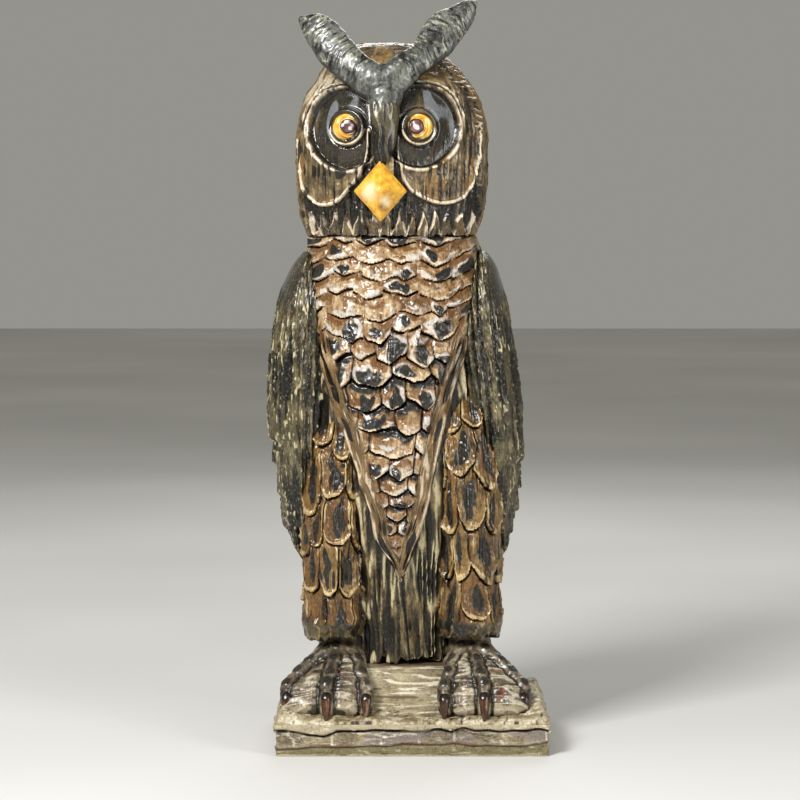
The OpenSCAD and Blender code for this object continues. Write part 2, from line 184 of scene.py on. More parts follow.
# %% Helper for carved scales
def scales(across, down, point, curve, seed, stagger=0.5, wander=0.3, ragged=0.15):
    """Overlapping scales. across counts scales sideways and down counts rows, growing downwards.
    Each lip hangs lowest in its middle. Gives, for each point: side (-1 to 1 across its scale),
    up (0 at its lip, 1 under the next lip), its row and its column."""
    base = np.floor(down)
    found = np.zeros(len(down), bool)
    side, up, row_of, column_of = (np.zeros(len(down)) for _ in range(4))
    previous = None
    for step in (-2, -1, 0, 1):
        row = base + step
        shift = across + (stagger(row) if callable(stagger) else stagger * (row % 2))
        seam = np.round(shift)
        seam_at = seam + wander * (chance(seam, row, 7, seed) - 0.5)
        column = np.where(shift >= seam_at, seam, seam - 1)
        left = column + wander * (chance(column, row, 7, seed) - 0.5)
        right = column + 1 + wander * (chance(column + 1, row, 7, seed) - 0.5)
        skew = 0.3 * (chance(column, row, 8, seed) - 0.5)
        middle = (left + right) / 2 + skew * (right - left)
        f = np.where(shift < middle, (shift - middle) / (middle - left),
                     (shift - middle) / (right - middle))
        lip = (row + 1 + ragged * (chance(column, row, 9, seed) - 0.5)
               + point * (0.5 - np.abs(f) ** curve))
        if previous is not None:
            here = ~found & (down < lip)
            up = np.where(here, np.clip((lip - down) / np.maximum(lip - previous, 0.05), 0, 1.2), up)
            side = np.where(here, f, side)
            row_of, column_of = np.where(here, row, row_of), np.where(here, column, column_of)
            found |= here
        previous = lip
    return side, np.clip(up, 0, 1), row_of, column_of


def carve(piece, depth):
    """Moves every point out along the surface by its depth in millimetres."""
    put_points(piece, points_of(piece) + normals_of(piece) * depth[:, None])
    return piece


def shade(piece, angle=50):
    clear_selection()
    piece.select_set(True)
    bpy.context.view_layer.objects.active = piece
    bpy.ops.object.shade_smooth_by_angle(angle=math.radians(angle))


def done(piece, node, material):
    """Gives a finished piece its wood and its body, and hides the nodes that it stands for."""
    piece.data.materials.clear()
    piece.data.materials.append(material)
    shade(piece, 60)
    nodes = [node] if isinstance(node, str) else node
    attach(piece, "root")
    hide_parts(*nodes)
    p = points_of(piece)
    print(piece.name, len(p), "points", p.min(0).round(1), p.max(0).round(1))
    return piece


# %% [markdown]
# ## The woods
# All the carved pieces come from one log and differ in stain, scorch and wear, so one recipe
# makes every wood. Its colour runs from the deep cuts to the worn crests; the grain runs up the
# figure; scorched and worn places come from what the tools left on each point; and deep places
# are darkened with dark stain and painted shade. Some woods also carry a painted highlight.

# %% Recipe for a wood
class Recipe:
    """A material and short ways to add nodes to it."""

    def __init__(self, name):
        self.material = bpy.data.materials.new(name)
        self.material.use_nodes = True
        self.tree = self.material.node_tree
        self.shader = self.tree.nodes["Principled BSDF"]
        coordinates = self.tree.nodes.new("ShaderNodeTexCoord")
        self.place = coordinates.outputs["Object"]

    def link(self, source, target):
        self.tree.links.new(source, target)

    def noise(self, scale, stretch=(1, 1, 1), detail=4, rough=0.6):
        mapping = self.tree.nodes.new("ShaderNodeMapping")
        mapping.inputs["Scale"].default_value = stretch
        self.link(self.place, mapping.inputs["Vector"])
        node = self.tree.nodes.new("ShaderNodeTexNoise")
        node.inputs["Scale"].default_value = scale
        node.inputs["Detail"].default_value = detail
        node.inputs["Roughness"].default_value = rough
        self.link(mapping.outputs["Vector"], node.inputs["Vector"])
        return node.outputs["Fac"]

    def ramp(self, source, stops):
        node = self.tree.nodes.new("ShaderNodeValToRGB")
        elements = node.color_ramp.elements
        while len(elements) < len(stops):
            elements.new(0.5)
        for element, (at, colour) in zip(elements, stops):
            element.position = at
            element.color = (*colour, 1) if hasattr(colour, "__len__") else (colour, colour, colour, 1)
        self.link(source, node.inputs["Fac"])
        return node.outputs["Color"]

    def mix(self, amount, first, second, how="MIX"):
        node = self.tree.nodes.new("ShaderNodeMix")
        node.data_type, node.blend_type = "RGBA", how
        for at, value in ((0, amount), (6, first), (7, second)):
            if isinstance(value, bpy.types.NodeSocket):
                self.link(value, node.inputs[at])
            elif at:
                node.inputs[at].default_value = (*value, 1)
            else:
                node.inputs[at].default_value = value
        return node.outputs[2]

    def sums(self, how, first, second, clamp=False):
        node = self.tree.nodes.new("ShaderNodeMath")
        node.operation, node.use_clamp = how, clamp
        for at, value in enumerate((first, second)):
            if isinstance(value, bpy.types.NodeSocket):
                self.link(value, node.inputs[at])
            else:
                node.inputs[at].default_value = value
        return node.outputs[0]

    def left_by(self, name):
        node = self.tree.nodes.new("ShaderNodeAttribute")
        node.attribute_name = name
        return node.outputs["Fac"]

    def bump(self, height, strength, distance):
        node = self.tree.nodes.new("ShaderNodeBump")
        node.inputs["Strength"].default_value = strength
        node.inputs["Distance"].default_value = distance
        self.link(height, node.inputs["Height"])
        self.link(node.outputs["Normal"], self.shader.inputs["Normal"])


def srgb(r, g, b):
    """A colour as a paint chart gives it, 0 to 255, as light."""
    return tuple(((c / 255 + 0.055) / 1.055) ** 2.4 if c > 10 else c / 3295 for c in (r, g, b))


def wood(name, dark, middle, light, marks, gloss=(0.34, 0.6), coat=0.25, along=9.0,
         speck=0.25, speck_colour=(205, 196, 160), relief=0.35):
    """marks is a list of (the mark, its colour, how strongly it covers); a mark is what the tool left, the
    dark stain and painted shade of deep places, or a painted highlight.
    """
    r = Recipe(name)
    broad = r.noise(70, detail=3)
    fibre = r.noise(420, (1, 1, 1 / along), detail=5, rough=0.65)
    fine = r.noise(1050, (1, 1, 1 / 2), detail=3, rough=0.7)
    tone = r.sums("ADD", r.sums("MULTIPLY", broad, 0.5), r.sums("MULTIPLY", fibre, 0.5))
    colour = r.ramp(tone, [(0.38, srgb(*dark)), (0.5, srgb(*middle)), (0.62, srgb(*light))])
    # Each mark lays its colour over the wood. The deep mark is dark stain and painted shade in the cuts and
    # under overhangs; a pale highlight mark is a painted highlight.
    for what, paint, cover in marks:
        ragged = r.ramp(r.sums("ADD", r.left_by(what),
                               r.sums("MULTIPLY", r.sums("SUBTRACT", fibre, 0.5), 0.7)),
                        [(0.25, 0), (0.7, cover)])
        colour = r.mix(ragged, colour, srgb(*paint))
    specks = r.ramp(fine, [(0.58, 0), (0.72, speck)])
    colour = r.mix(specks, colour, srgb(*speck_colour))
    pores = r.ramp(fine, [(0.32, 0.75), (0.45, 0)])
    colour = r.mix(pores, colour, srgb(22, 17, 12))
    r.link(colour, r.shader.inputs["Base Color"])
    dull = r.ramp(r.sums("ADD", r.sums("MULTIPLY", fibre, 0.6), r.sums("MULTIPLY", fine, 0.4)),
                  [(0.3, gloss[0]), (0.7, gloss[1])])
    rubbed = r.ramp(r.left_by("polish"), [(0.2, 1), (0.8, 0.5)])
    r.link(r.sums("MULTIPLY", dull, rubbed), r.shader.inputs["Roughness"])
    r.shader.inputs["Coat Weight"].default_value = coat
    r.shader.inputs["Coat Roughness"].default_value = 0.18
    r.shader.inputs["Specular IOR Level"].default_value = 0.5
    r.bump(r.sums("ADD", fibre, r.sums("MULTIPLY", fine, 0.5)), relief, 0.0008)
    return r.material


# %% [markdown]
# ## The trunk
# The trunk is the core of the log. It shows between the legs, in the strips beside the bib, and
# on the back. It is a lump pulled through its stations; the front of it is cut with long upright
# gouge strokes, and the back with large flat feathers. More of its points are sent to the front
# and the back than to the flanks, which the wings hide.

# %% Pulling a lump through stations
def form(node, shares):
    """Stations of a node as shares of its box: height, width, depth, shift in x, shift in y."""
    low, high, middle = box_of(node)
    half = (high - low) / 2
    table = np.array(shares)

    def at(z):
        s = (z - low[2]) / (high[2] - low[2])
        column = [through(s, table[:, 0], table[:, i]) for i in range(1, 5)]
        return (middle[0] + column[2] * half[0], column[0] * half[0],
                middle[1] + column[3] * half[1], column[1] * half[1])

    return at


def front_of(at, x, z):
    """How far forward the surface of a form is."""
    mx, hw, my, hd = at(z)
    return my - hd * np.sqrt(1 - np.clip((x - mx) / hw, -0.985, 0.985) ** 2)


def pull(turn, rise, z0, z1, at, dense=0.4, folds=1, cap=0.02, boxy=2.0):
    """Points of a lump on a form. folds is 1 to favour the front, 2 for the front and back."""
    turned = turn - dense / folds * np.sin(folds * turn)
    level = np.clip((rise - cap) / (1 - 2 * cap), 0, 1)
    shrink = np.sin(np.clip(np.minimum(rise, 1 - rise) / cap, 0, 1) * np.pi / 2)
    z = z0 + (z1 - z0) * level
    mx, hw, my, hd = at(z)
    across, along = np.sin(turned), np.cos(turned)
    across = np.sign(across) * np.abs(across) ** (2 / boxy)
    along = np.sign(along) * np.abs(along) ** (2 / boxy)
    return np.stack([mx + hw * shrink * across, my - hd * shrink * along, z], 1), turned


# %% Trunk
TRUNK = [
    (0, 0.55, 0.60, 0.07, 0.02), (0.07, 0.58, 0.64, 0.06, 0.02), (0.16, 0.66, 0.72, 0.04, 0.01),
    (0.32, 0.82, 0.86, 0.02, 0), (0.45, 0.93, 0.95, 0, 0), (0.6, 0.99, 0.99, 0, 0),
    (0.75, 1, 1, 0, 0), (0.87, 0.97, 0.95, 0, 0), (0.95, 0.92, 0.85, 0, 0.01), (1, 0.85, 0.77, 0, 0.01),
]
trunk_at = form("trunk", TRUNK)
trunk_low, trunk_high = box_of("trunk")[:2]


def carve_trunk():
    piece, turn, rise = lump("trunk_core", 300, 300)
    p, turned = pull(turn, rise, trunk_low[2] + 1, trunk_high[2] - 1, trunk_at, 0.35, 2)
    arc = turned * 52
    behind = ease(1.7, 2.0, np.abs(turned))
    flat = np.stack([arc, arc * 0, p[:, 2]], 1)
    slant = flat + np.stack([0.10 * p[:, 2] * np.sign(arc), arc * 0, arc * 0], 1) * (1 - behind)[:, None]
    broad = gouges(slant, (9, 1, 75), 3)
    narrow = gouges(slant, (3.6, 1, 36), 4)
    fine = grain(slant, (1.6, 1, 14), 5)
    strokes = 2.2 * broad ** 1.5 + 1.7 * narrow ** 2 + 0.6 * fine
    side, up, row, column = scales(arc / 25, (trunk_high[2] - p[:, 2]) / 27, 0.5, 2.0, 11)
    lip = 1 - ease(0, 0.10, up)
    shingle = 2.6 * (1 - up) ** 1.3 - 1.4 * ease(0.9, 0.98, up) - 0.9 * side ** 4
    shaft = 0.8 * np.exp(-(side / 0.08) ** 2) * ease(0.95, 0.8, up)
    barbs = 0.35 * np.sin(p[:, 2] * 1.9 + np.abs(side) * 9)
    depth = (1 - behind) * (strokes - 2.4) + behind * (shingle + shaft + barbs * 0.8 + 0.4 * fine - 1.6)
    hem = ease(13, 0, p[:, 2] - trunk_low[2]) * (1 - behind)
    p[:, 2] -= hem * (grain(flat, (4.5, 1, 60), 6) * 3 - 2.0)
    put_points(piece, p)
    carve(piece, depth)
    crest = ease(0.62, 0.9, narrow) * ease(0.35, 0.75, broad)
    mark(
        piece,
        worn=(1 - behind) * crest * (0.6 + 0.6 * grain(slant, (1.6, 1, 9), 8))
        + behind * (0.7 * lip + 0.4 * shaft),
        deep=(1 - behind) * ease(0.72, 0.35, narrow) + behind * ease(0.86, 0.96, up),
        scorch=(1 - behind) * ease(0.1, 0.7, grain(slant, (16, 1, 60), 9))
        + behind * ease(0.55, 0.1, np.hypot(side * 0.8, (up - 0.42) * 1.6))
        * (chance(row, column, 3, 2) > 0.35),
    )
    return piece


body_wood = wood("body_wood", (32, 27, 19), (82, 71, 49), (146, 128, 92), [
    ("scorch", (30, 27, 20), 0.8), ("worn", (206, 193, 156), 0.85), ("deep", (18, 13, 8), 0.95),
])
trunk = carve_trunk()
done(trunk, "trunk", body_wood)

# %% [markdown]
# ## The breast bib
# A pointed shield of overlapping scales. The carver stops each scale with a V cut, undercuts
# it, scorches its middle and rubs its lip pale. High up the scales stand in columns with a seam
# between them; lower down they are staggered and thicker. A band along the point is cut with
# long lines instead. The shield is thin, so its lump has a front and a back sheet: most of the
# points go to the front.

# %% Outline and rows of the bib
bib_low, bib_high, bib_mid = box_of("breast_bib")
BIB_EDGE = [  # share of height, left and right of its axis as shares of its half width
    (0, 0.02, 0.02), (0.065, 0.15, 0.14), (0.11, 0.27, 0.20), (0.185, 0.33, 0.31), (0.24, 0.40, 0.37),
    (0.3, 0.48, 0.42), (0.395, 0.58, 0.50), (0.54, 0.79, 0.66), (0.67, 0.92, 0.83), (0.82, 1.0, 0.94),
    (1, 1.0, 0.97),
]
bib_half = (bib_high[0] - bib_low[0]) / 2
bib_tall = bib_high[2] - bib_low[2]


def bib_outline(z):
    s = (z - bib_low[2]) / bib_tall
    axis = bib_mid[0] + 4.6 * (1 - s)
    table = np.array(BIB_EDGE)
    return (axis - through(s, table[:, 0], table[:, 1]) * bib_half,
            axis + through(s, table[:, 0], table[:, 2]) * bib_half)


ROW_PITCH = [(0, 8.5), (0.12, 9.5), (0.3, 11.5), (0.42, 14.5), (0.6, 15.5), (0.72, 13.5), (0.85, 11.5),
             (1, 9.5)]
row_levels = np.linspace(bib_low[2] - 5, bib_high[2] + 12, 400)
row_pitches = through((row_levels - bib_low[2]) / bib_tall, *np.array(ROW_PITCH).T)
row_count = np.cumsum((1 / row_pitches)[::-1])[::-1] * (row_levels[1] - row_levels[0])
print("rows on the bib:", round(float(row_count[0])))


# %% Carve the bib
def carve_bib():
    piece, turn, rise = lump("breast_bib_scales", 300, 318)
    share = 0.84
    in_front = np.abs(turn) < share * np.pi
    u = np.sign(turn) * np.where(in_front, np.abs(turn) / (share * np.pi),
                                 (np.pi - np.abs(turn)) / ((1 - share) * np.pi))
    cap = 0.012
    level = np.clip((rise - cap) / (1 - 2 * cap), 0, 1)
    shrink = np.sin(np.clip(np.minimum(rise, 1 - rise) / cap, 0, 1) * np.pi / 2)
    z = bib_low[2] + 1 + (bib_tall - 3) * level
    left, right = bib_outline(z)
    x = (left + right) / 2 + (right - left) / 2 * u * shrink
    edge = np.sqrt(1 - np.abs(u) ** 10)
    proud = (7.5 + 1.5 * ease(0.25, 0, level)) * edge
    y = front_of(trunk_at, x, z) + np.where(in_front, -proud, 3 * edge)
    put_points(piece, np.stack([x, y, z], 1))

    wide = 20.5 - 5.5 * ease(215, 150, z)
    down = np.interp(z, row_levels, row_count)
    high = ease(252, 278, z)
    tilt = ease(24, 40, x) * ease(225, 250, z)
    down = down + tilt * (x - 26) * 0.055
    across = (x + 9.3) / wide + 20
    wavy = np.stack([x, x * 0, z], 1)
    across = across + 0.13 * grain(wavy, 26, 21) + 0.07 * grain(wavy, 9, 24)
    down = down + 0.24 * grain(wavy, (21, 1, 34), 22) + 0.08 * grain(wavy, 5, 25)
    side, up, row, column = scales(
        across, down, 0.36, 1.25, 31, stagger=lambda r: 0.5 * (r % 2) * (r > 5.5), wander=0.5, ragged=0.42)
    luck = chance(row, column, 1, 31)
    other = chance(row, column, 2, 31)
    seam = np.abs(side)
    held = 1 - (0.75 * high + 0.25) * seam ** 3
    tall = (2.3 + 1.1 * (1 - high)) * (0.65 + 0.7 * luck)
    rise_up = tall * held * (1 - up) ** 1.15
    lip_cut = 0.9 * ease(0.2, 0.0, up) * held
    ridge = (0.9 + 0.6 * (1 - high)) * (1 - seam)
    twist = 1.3 * (other - 0.5) * side
    undercut = 1.9 * held * ease(0.86, 0.97, up)
    seam_cut = 0.8 * ease(0.86, 0.97, seam) * (1 - high) - 0.35 * ease(0.8, 0.95, seam) * high
    chatter = facets(across * 2.3, down * 1.7, 41)[0]
    hand = 2.3 * chatter + 0.35 * grain(wavy, 2.2, 42) + 0.5 * grain(wavy, 5, 44)
    body = rise_up - lip_cut + ridge + twist - undercut - seam_cut + hand

    inset = np.minimum(x - left, right - x)
    banded = ease(13, 7.5, inset) * ease(278, 250, z)
    strips = np.stack([inset + 0.6 * grain(wavy, 8, 45), inset * 0, z], 1)
    lines = 1.7 * gouges(strips, (2.6, 1, 26), 43) + 1.2 * gouges(strips, (1.4, 1, 12), 53) - 1.7
    rim = ease(2.4, 1.0, inset) * ease(-0.6, 0.2, grain(wavy, (3, 1, 11), 46))
    depth = (1 - banded) * body + banded * (lines - 0.2 + 1.2 * rim) - 1.6
    depth -= 1.0 * ease(bib_high[2] - 4, bib_high[2] - 1, z) + 1.2 * ease(6, 0, inset) * (1 - banded)
    carve(piece, depth * in_front * edge)

    burnt = (luck > 0.38 - 0.12 * (1 - high))
    blot = (np.hypot((side - 0.7 * (other - 0.5)) / 0.62,
                     (up - 0.16 - 0.25 * luck) / (0.28 + 0.16 * other))
            + 0.35 * grain(wavy, (3.4, 1, 4.5), 47))
    spot = ease(1.05, 0.6, blot)
    halo = (ease(1.5, 1.15, blot) * (1 - spot) * (chance(row, column, 6, 31) > 0.3)
            * ease(-0.2, 0.5, side * np.sign(other - 0.5) + 0.5 * grain(wavy, 4, 52)))
    under = ease(0.55, 0.8, up) * ease(0.95, 0.7, seam) * (1 - high) * (other > 0.3)
    # The dark line just under the lip above each scale, and along the seams of the lower rows, is painted
    # shade of the undercut together with dark stain.
    line = np.maximum(ease(0.87, 0.95, up) * (held > 0.45), ease(0.90, 0.98, seam) * (1 - high) * 0.8)
    mark(
        piece,
        scorch=(1 - banded) * np.maximum(spot * burnt, under * 0.9),
        deep=np.maximum((1 - banded) * line, banded * ease(0.15, -0.35, lines)),
        worn=np.maximum((1 - banded) * ease(0.25, 0.05, up) * held * ease(0.98, 0.85, seam)
                        * (0.75 + 0.5 * grain(wavy, 4, 50)),
                        banded
                        * (0.85 * rim
                           + 0.6 * ease(0.55, 0.9, lines) * ease(-0.4, 0.3, grain(wavy, (2, 1, 9), 51)))),
        amber=(1 - banded) * ease(-0.6, 0.2, grain(wavy, 5, 48)) * np.maximum(
            ease(0.4, 0.7, up),
            (side * np.sign(other - 0.5) > 0.2) * 0.9 * ease(0.25, 0.55, luck + 0.4 * ease(230, 150, z))),
        # Painted highlight: pale grey-white on the facets just above each lip and beside the scorched
        # spots.
        silver=(1 - banded) * np.maximum(ease(0.5, 0.2, up) * ease(0.1, 0.4, chatter), 0.8 * halo * burnt),
        olive=banded * (0.7 + 0.4 * grain(wavy, (4, 1, 18), 49)),
    )
    return piece


# The grey-white mark colour of this wood is a painted highlight.
breast_wood = wood("breast_wood", (92, 66, 38), (152, 122, 86), (198, 176, 142), [
    ("amber", (108, 72, 34), 0.85), ("silver", (204, 201, 196), 0.7), ("olive", (96, 78, 46), 0.8),
    ("worn", (218, 200, 174), 0.85), ("scorch", (26, 27, 26), 0.97), ("deep", (24, 12, 6), 1.0),
], gloss=(0.2, 0.46), coat=0.5, speck=0.15)
bib = carve_bib()
done(bib, "breast_bib", breast_wood)

# %% [markdown]
# ## The head
# The head is the rounded top block. On its face two wide dishes are scooped round the eyes, each
# with a low mound in its middle for the eye to sit in. A cheek ridge sweeps under each dish from
# the side of the head to the beak, and under the ridges the chin is cut back to a fringe of
# points. Small ticks follow the edge of the face. The front gets most of the points.

# %% Face lines
head_low, head_high, head_mid = box_of("head")
HEAD = [
    (0, 0.87, 0.9, 0, 0), (0.07, 0.93, 0.95, 0, 0), (0.2, 0.98, 0.98, 0, 0), (0.38, 1, 1, 0, 0),
    (0.55, 0.99, 0.99, 0, 0), (0.7, 0.915, 0.93, 0, 0), (0.8, 0.81, 0.85, 0, 0.01),
    (0.89, 0.69, 0.72, -0.02, 0.03), (0.95, 0.55, 0.58, -0.03, 0.05), (0.985, 0.41, 0.44, -0.05, 0.07),
    (1, 0.30, 0.33, -0.06, 0.08),
]
head_at = form("head", HEAD)
# Cheek ridges, from the outside to the beak, measured from the head's middle and its foot
CHEEK_LEFT = [(-60.5, 62), (-59.2, 48), (-56.6, 31), (-50.6, 24), (-45.2, 20.5), (-36.3, 22), (-28.6, 29),
              (-21.6, 38), (-17.5, 47), (-15.5, 57), (-15, 68)]
CHEEK_RIGHT = [(3.4, 78), (2.6, 66), (3.4, 54), (5.0, 46), (7.1, 38), (12.2, 30), (20.4, 25), (28.8, 22),
               (36.4, 22), (44.8, 25), (50.4, 32), (53.5, 41), (56.5, 56), (57, 72)]
TEMPLE = [(28, 113), (34.6, 108.5), (41, 103), (48, 95), (53.5, 86), (57, 75), (58, 60), (58, 42), (57, 20)]


def off_line(x, z, line):
    """Distance of each point from a bent line, how far along the line, and on which side."""
    best = np.full(len(x), 1e9)
    along = np.zeros(len(x))
    side = np.zeros(len(x))
    run = 0
    for (x0, z0), (x1, z1) in zip(line[:-1], line[1:]):
        dx, dz = x1 - x0, z1 - z0
        length = math.hypot(dx, dz)
        t = np.clip(((x - x0) * dx + (z - z0) * dz) / length ** 2, 0, 1)
        far = np.hypot(x - x0 - t * dx, z - z0 - t * dz)
        closer = far < best
        best = np.where(closer, far, best)
        along = np.where(closer, run + t * length, along)
        side = np.where(closer, np.sign((x - x0) * dz - (z - z0) * dx), side)
        run += length
    return best, along, side


def smooth_line(line, count=40):
    """The same line through many more points, so that it bends softly."""
    t = np.arange(len(line))
    xs, zs = np.array(line).T
    fine = np.linspace(0, len(line) - 1, count)
    return list(zip(through(fine, t, xs), through(fine, t, zs)))


# %% Carve the head
def carve_head():
    piece, turn, rise = lump("head_block", 400, 236)
    p, turned = pull(turn, rise, head_low[2] + 0.5, head_high[2], head_at, 0.42, 1, cap=0.03)
    put_points(piece, p)
    x, z = p[:, 0] - head_mid[0], p[:, 2] - head_low[2]
    face = ease(1.55, 1.25, np.abs(turned))
    arc = turned * 54
    bark = np.stack([arc, arc * 0, z], 1)

    depth = np.zeros(len(p))
    worn, deep, mound_all, in_dish, low_half = (np.zeros(len(p)) for _ in range(5))
    for name, cx, cz, tilt in (("eye_left", -0.8, -0.8, 1), ("eye_right", 0.6, 0.4, -1)):
        middle = box_of(name)[2]
        ex, ez = x + head_mid[0] - middle[0], z + head_low[2] - middle[2]
        dx, dz = ex - cx, ez - cz
        r = np.hypot(dx / (24.2 if tilt > 0 else 25.5), dz / 26.5)
        inside = ease(1.0, 0.955, r)
        bowl = -4.0 * inside * (0.45 + 0.55 * ease(0.45, 0.85, r))
        re = np.hypot(ex / 11.8, ez / 12.2)
        mound = 2.4 * ease(1.10, 0.88, re)
        ring = -1.1 * np.exp(-((re - 1.05) / 0.07) ** 2)
        socket_cut = -1.2 * ease(0.80, 0.70, re)
        lid = 1.1 * np.exp(-((re - 0.90) / 0.08) ** 2) * ease(0.25, -0.45, ez / 12)
        low_side = ease(0.30, -0.45, dz / 27.5)
        outer_side = ease(-0.2, 0.7, -dx * tilt / 25.5)
        lip = (np.exp(-((r - 1.035) / 0.045) ** 2)
               * np.maximum(low_side, 0.8 * outer_side)
               * (1 - 0.7 * ease(0.35, 0.8, dx * tilt / 25.5)))
        groove = np.exp(-((r - 1.07) / 0.03) ** 2) * ease(0.0, 0.5, dz / 27.5)
        second = np.exp(-((r - 1.12) / 0.03) ** 2) * ease(-0.3, 0.3, dz / 27.5) * outer_side
        near_nose = ease(14, 19, dx * tilt)
        depth += face * ((bowl + mound + ring + socket_cut + lid) * (1 - 0.6 * near_nose) + 1.5 * lip
                         - 1.3 * groove + 0.8 * second)
        worn = np.maximum(worn,
                          face * np.maximum(0.95 * lip * ease(-0.9, -0.2, grain(bark, 6, 66)), 0.7 * lid))
        worn = np.maximum(worn, face * 0.7 * second)
        # The dark lines over the upper half of each eye mound and of each dish are painted shade together
        # with dark stain.
        deep = np.maximum(
            deep, face * np.maximum(groove, np.exp(-((re - 1.03) / 0.06) ** 2) * ease(-0.2, 0.5, ez / 14)))
        deep = np.maximum(deep, face * 0.8 * np.exp(-((r - 0.965) / 0.03) ** 2))
        in_dish = np.maximum(in_dish, face * inside)
        low_half = np.maximum(low_half, face * inside * ease(0.15, -0.5, dz / 27))
        mound_all = np.maximum(mound_all, face * ease(1.08, 0.9, re))

    chin = np.zeros(len(p))
    for line in (CHEEK_LEFT, CHEEK_RIGHT):
        line = smooth_line(line)
        far, along, side = off_line(x, z, line)
        ridge = np.exp(-(far / 1.25) ** 2)
        xs, zs = np.array(line).T
        keep = (x > xs.min() - 1) & (x < xs.max() + 1)
        order = np.argsort(xs)
        lower = np.interp(x, xs[order],
                          np.minimum.accumulate(zs[order][::-1])[::-1] if xs[0] > xs[-1] else zs[order])
        chin = np.maximum(chin, keep * ease(0.5, 2.5, lower - z))
        depth += face * (1.5 * ridge)
        worn = np.maximum(worn, face * ease(0.25, 0.7, ridge))
        # The dark line just under each cheek ridge is painted shade together with dark stain.
        deep = np.maximum(deep, face * 0.8 * np.exp(-((far - 2.6) / 0.9) ** 2) * (z < lower) * keep)
    middle_chin = ease(20, 14, np.abs(x + 5.5)) * ease(30, 26, z)
    chin = np.maximum(chin, middle_chin) * ease(0.2, 0.6, face)
    tooth_at = (x + 1.6 * grain(bark, 9, 51)) / 8.2
    tooth = 1 - np.abs(2 * (tooth_at - np.floor(tooth_at)) - 1)
    reach = 1 + 14 * tooth + 1.5 * grain(bark, 6, 67)
    fringe = chin * ease(0.8, -0.8, z - reach)
    brim = chin * np.exp(-((z - reach) / 2.0) ** 2)
    depth -= 2.7 * chin
    depth += 1.9 * fringe + 0.8 * brim
    worn = np.maximum(worn, 0.95 * brim * ease(-0.8, 0.0, grain(bark, 7, 52)))
    deep = np.maximum(deep,
                      0.9 * chin * (1 - fringe) * (1 - brim) * ease(0.2, 0.6, gouges(bark, (3, 1, 30), 53)))

    far, along, side = off_line(x, z, smooth_line(TEMPLE))
    beat = along / 4.3 + side * far * 0.17
    count = np.round(beat)
    reach = 2.4 + 1.8 * chance(count, 1, 0, 61)
    tick = (ease(0.42, 0.12, np.abs(beat - count) * 2)
            * ease(reach + 1, reach - 0.6, far + 1.5 * (side < 0)) * face)
    tick *= (chance(count, 0, 0, 61) > 0.12) * (along > 8) * ease(60, 54, along)
    depth += (0.9 * tick
              - 0.8 * ease(0.55, 0.9, np.abs(beat - count) * 2) * ease(5, 3, far) * face
              * ease(64, 58, along))
    worn = np.maximum(worn, 0.9 * tick)
    edge_line = np.exp(-(far / 1.1) ** 2) * face
    depth -= 0.9 * edge_line
    deep = np.maximum(deep, 0.8 * edge_line * ease(-0.4, 0.4, grain(bark, 6, 62)))

    plain = (1 - in_dish) * (1 - mound_all)
    strokes = (1.2 * gouges(bark, (4.5, 1, 26), 54) ** 1.5 + 1.0 * gouges(bark, (2.2, 1, 14), 55) ** 2
               + 0.25 * grain(bark, 1.5, 56))
    crown = ease(92, 104, z)
    flat_cut = facets(p[:, 0] / 7, (p[:, 1] + 3 * p[:, 2]) / 5, 57)[0]
    strokes = strokes * (1 - crown) + crown * (1.2 * flat_cut + 0.4 * grain(p, (9, 2, 2), 58))
    back = ease(1.5, 1.8, np.abs(turned)) * ease(118, 104, z)
    side, up, row, column = scales(arc / 15, (130 - z) / 15, 0.5, 1.7, 59)
    tuft = (1.7 * (1 - up) ** 1.3 - 0.8 * ease(0.88, 0.97, up) - 0.6 * side ** 4
            + 0.3 * np.exp(-(side / 0.1) ** 2))
    depth += (plain + 0.45 * low_half) * (1 - back) * (strokes - 0.9) + back * (tuft - 0.9 + 0.3 * strokes)
    carve(piece, depth)
    crest = (ease(0.75, 0.95, gouges(bark, (4.5, 1, 26), 54))
             * ease(0.4, 0.9, gouges(bark, (2.2, 1, 14), 55)))
    mark(
        piece,
        worn=np.maximum(worn,
                        plain
                        * (0.55 * crest * (1 - crown) * ease(-0.3, 0.5, grain(bark, 14, 63))
                           + back * 0.6 * ease(0.12, 0, up))),
        deep=np.maximum(deep,
                        plain * 0.8 * ease(0.6, 0.3, gouges(bark, (2.2, 1, 14), 55)) * (1 - crown)
                        + back * ease(0.86, 0.96, up)),
        polish=np.maximum(in_dish - 0.5 * low_half, 0.5 * mound_all)
        * (0.85 + 0.4 * grain(bark, (6, 1, 9), 68)),
        # Painted highlight: pale grey on the upper part of each dish.
        silver=in_dish * (1 - low_half) * (1 - mound_all) * ease(0.15, 0.6, grain(bark, (8, 1, 20), 69)),
        tan=plain * face * ease(-20, -40, x) * ease(78, 92, z)
        * ease(-0.8, 0.1, grain(bark, (3, 1, 12), 70)),
        gold=np.maximum(0.6 * crown * ease(-0.4, 0.4, grain(p, (9, 2, 2), 60)),
                        (1 - back) * plain
                        * ease(0.05, 0.6, grain(bark, (13, 1, 22), 64) + 0.25 * (x > 20))),
        scorch=np.maximum(back * (chance(row, column, 4, 59) > 0.4)
                          * ease(0.7, 0.2, np.hypot(side, (up - 0.4) * 1.8)),
                          0.8 * low_half + chin * 0.4
                          + plain * face * ease(0.1, 0.6, grain(bark, (10, 1, 18), 65)) * 0.6),
    )
    return piece


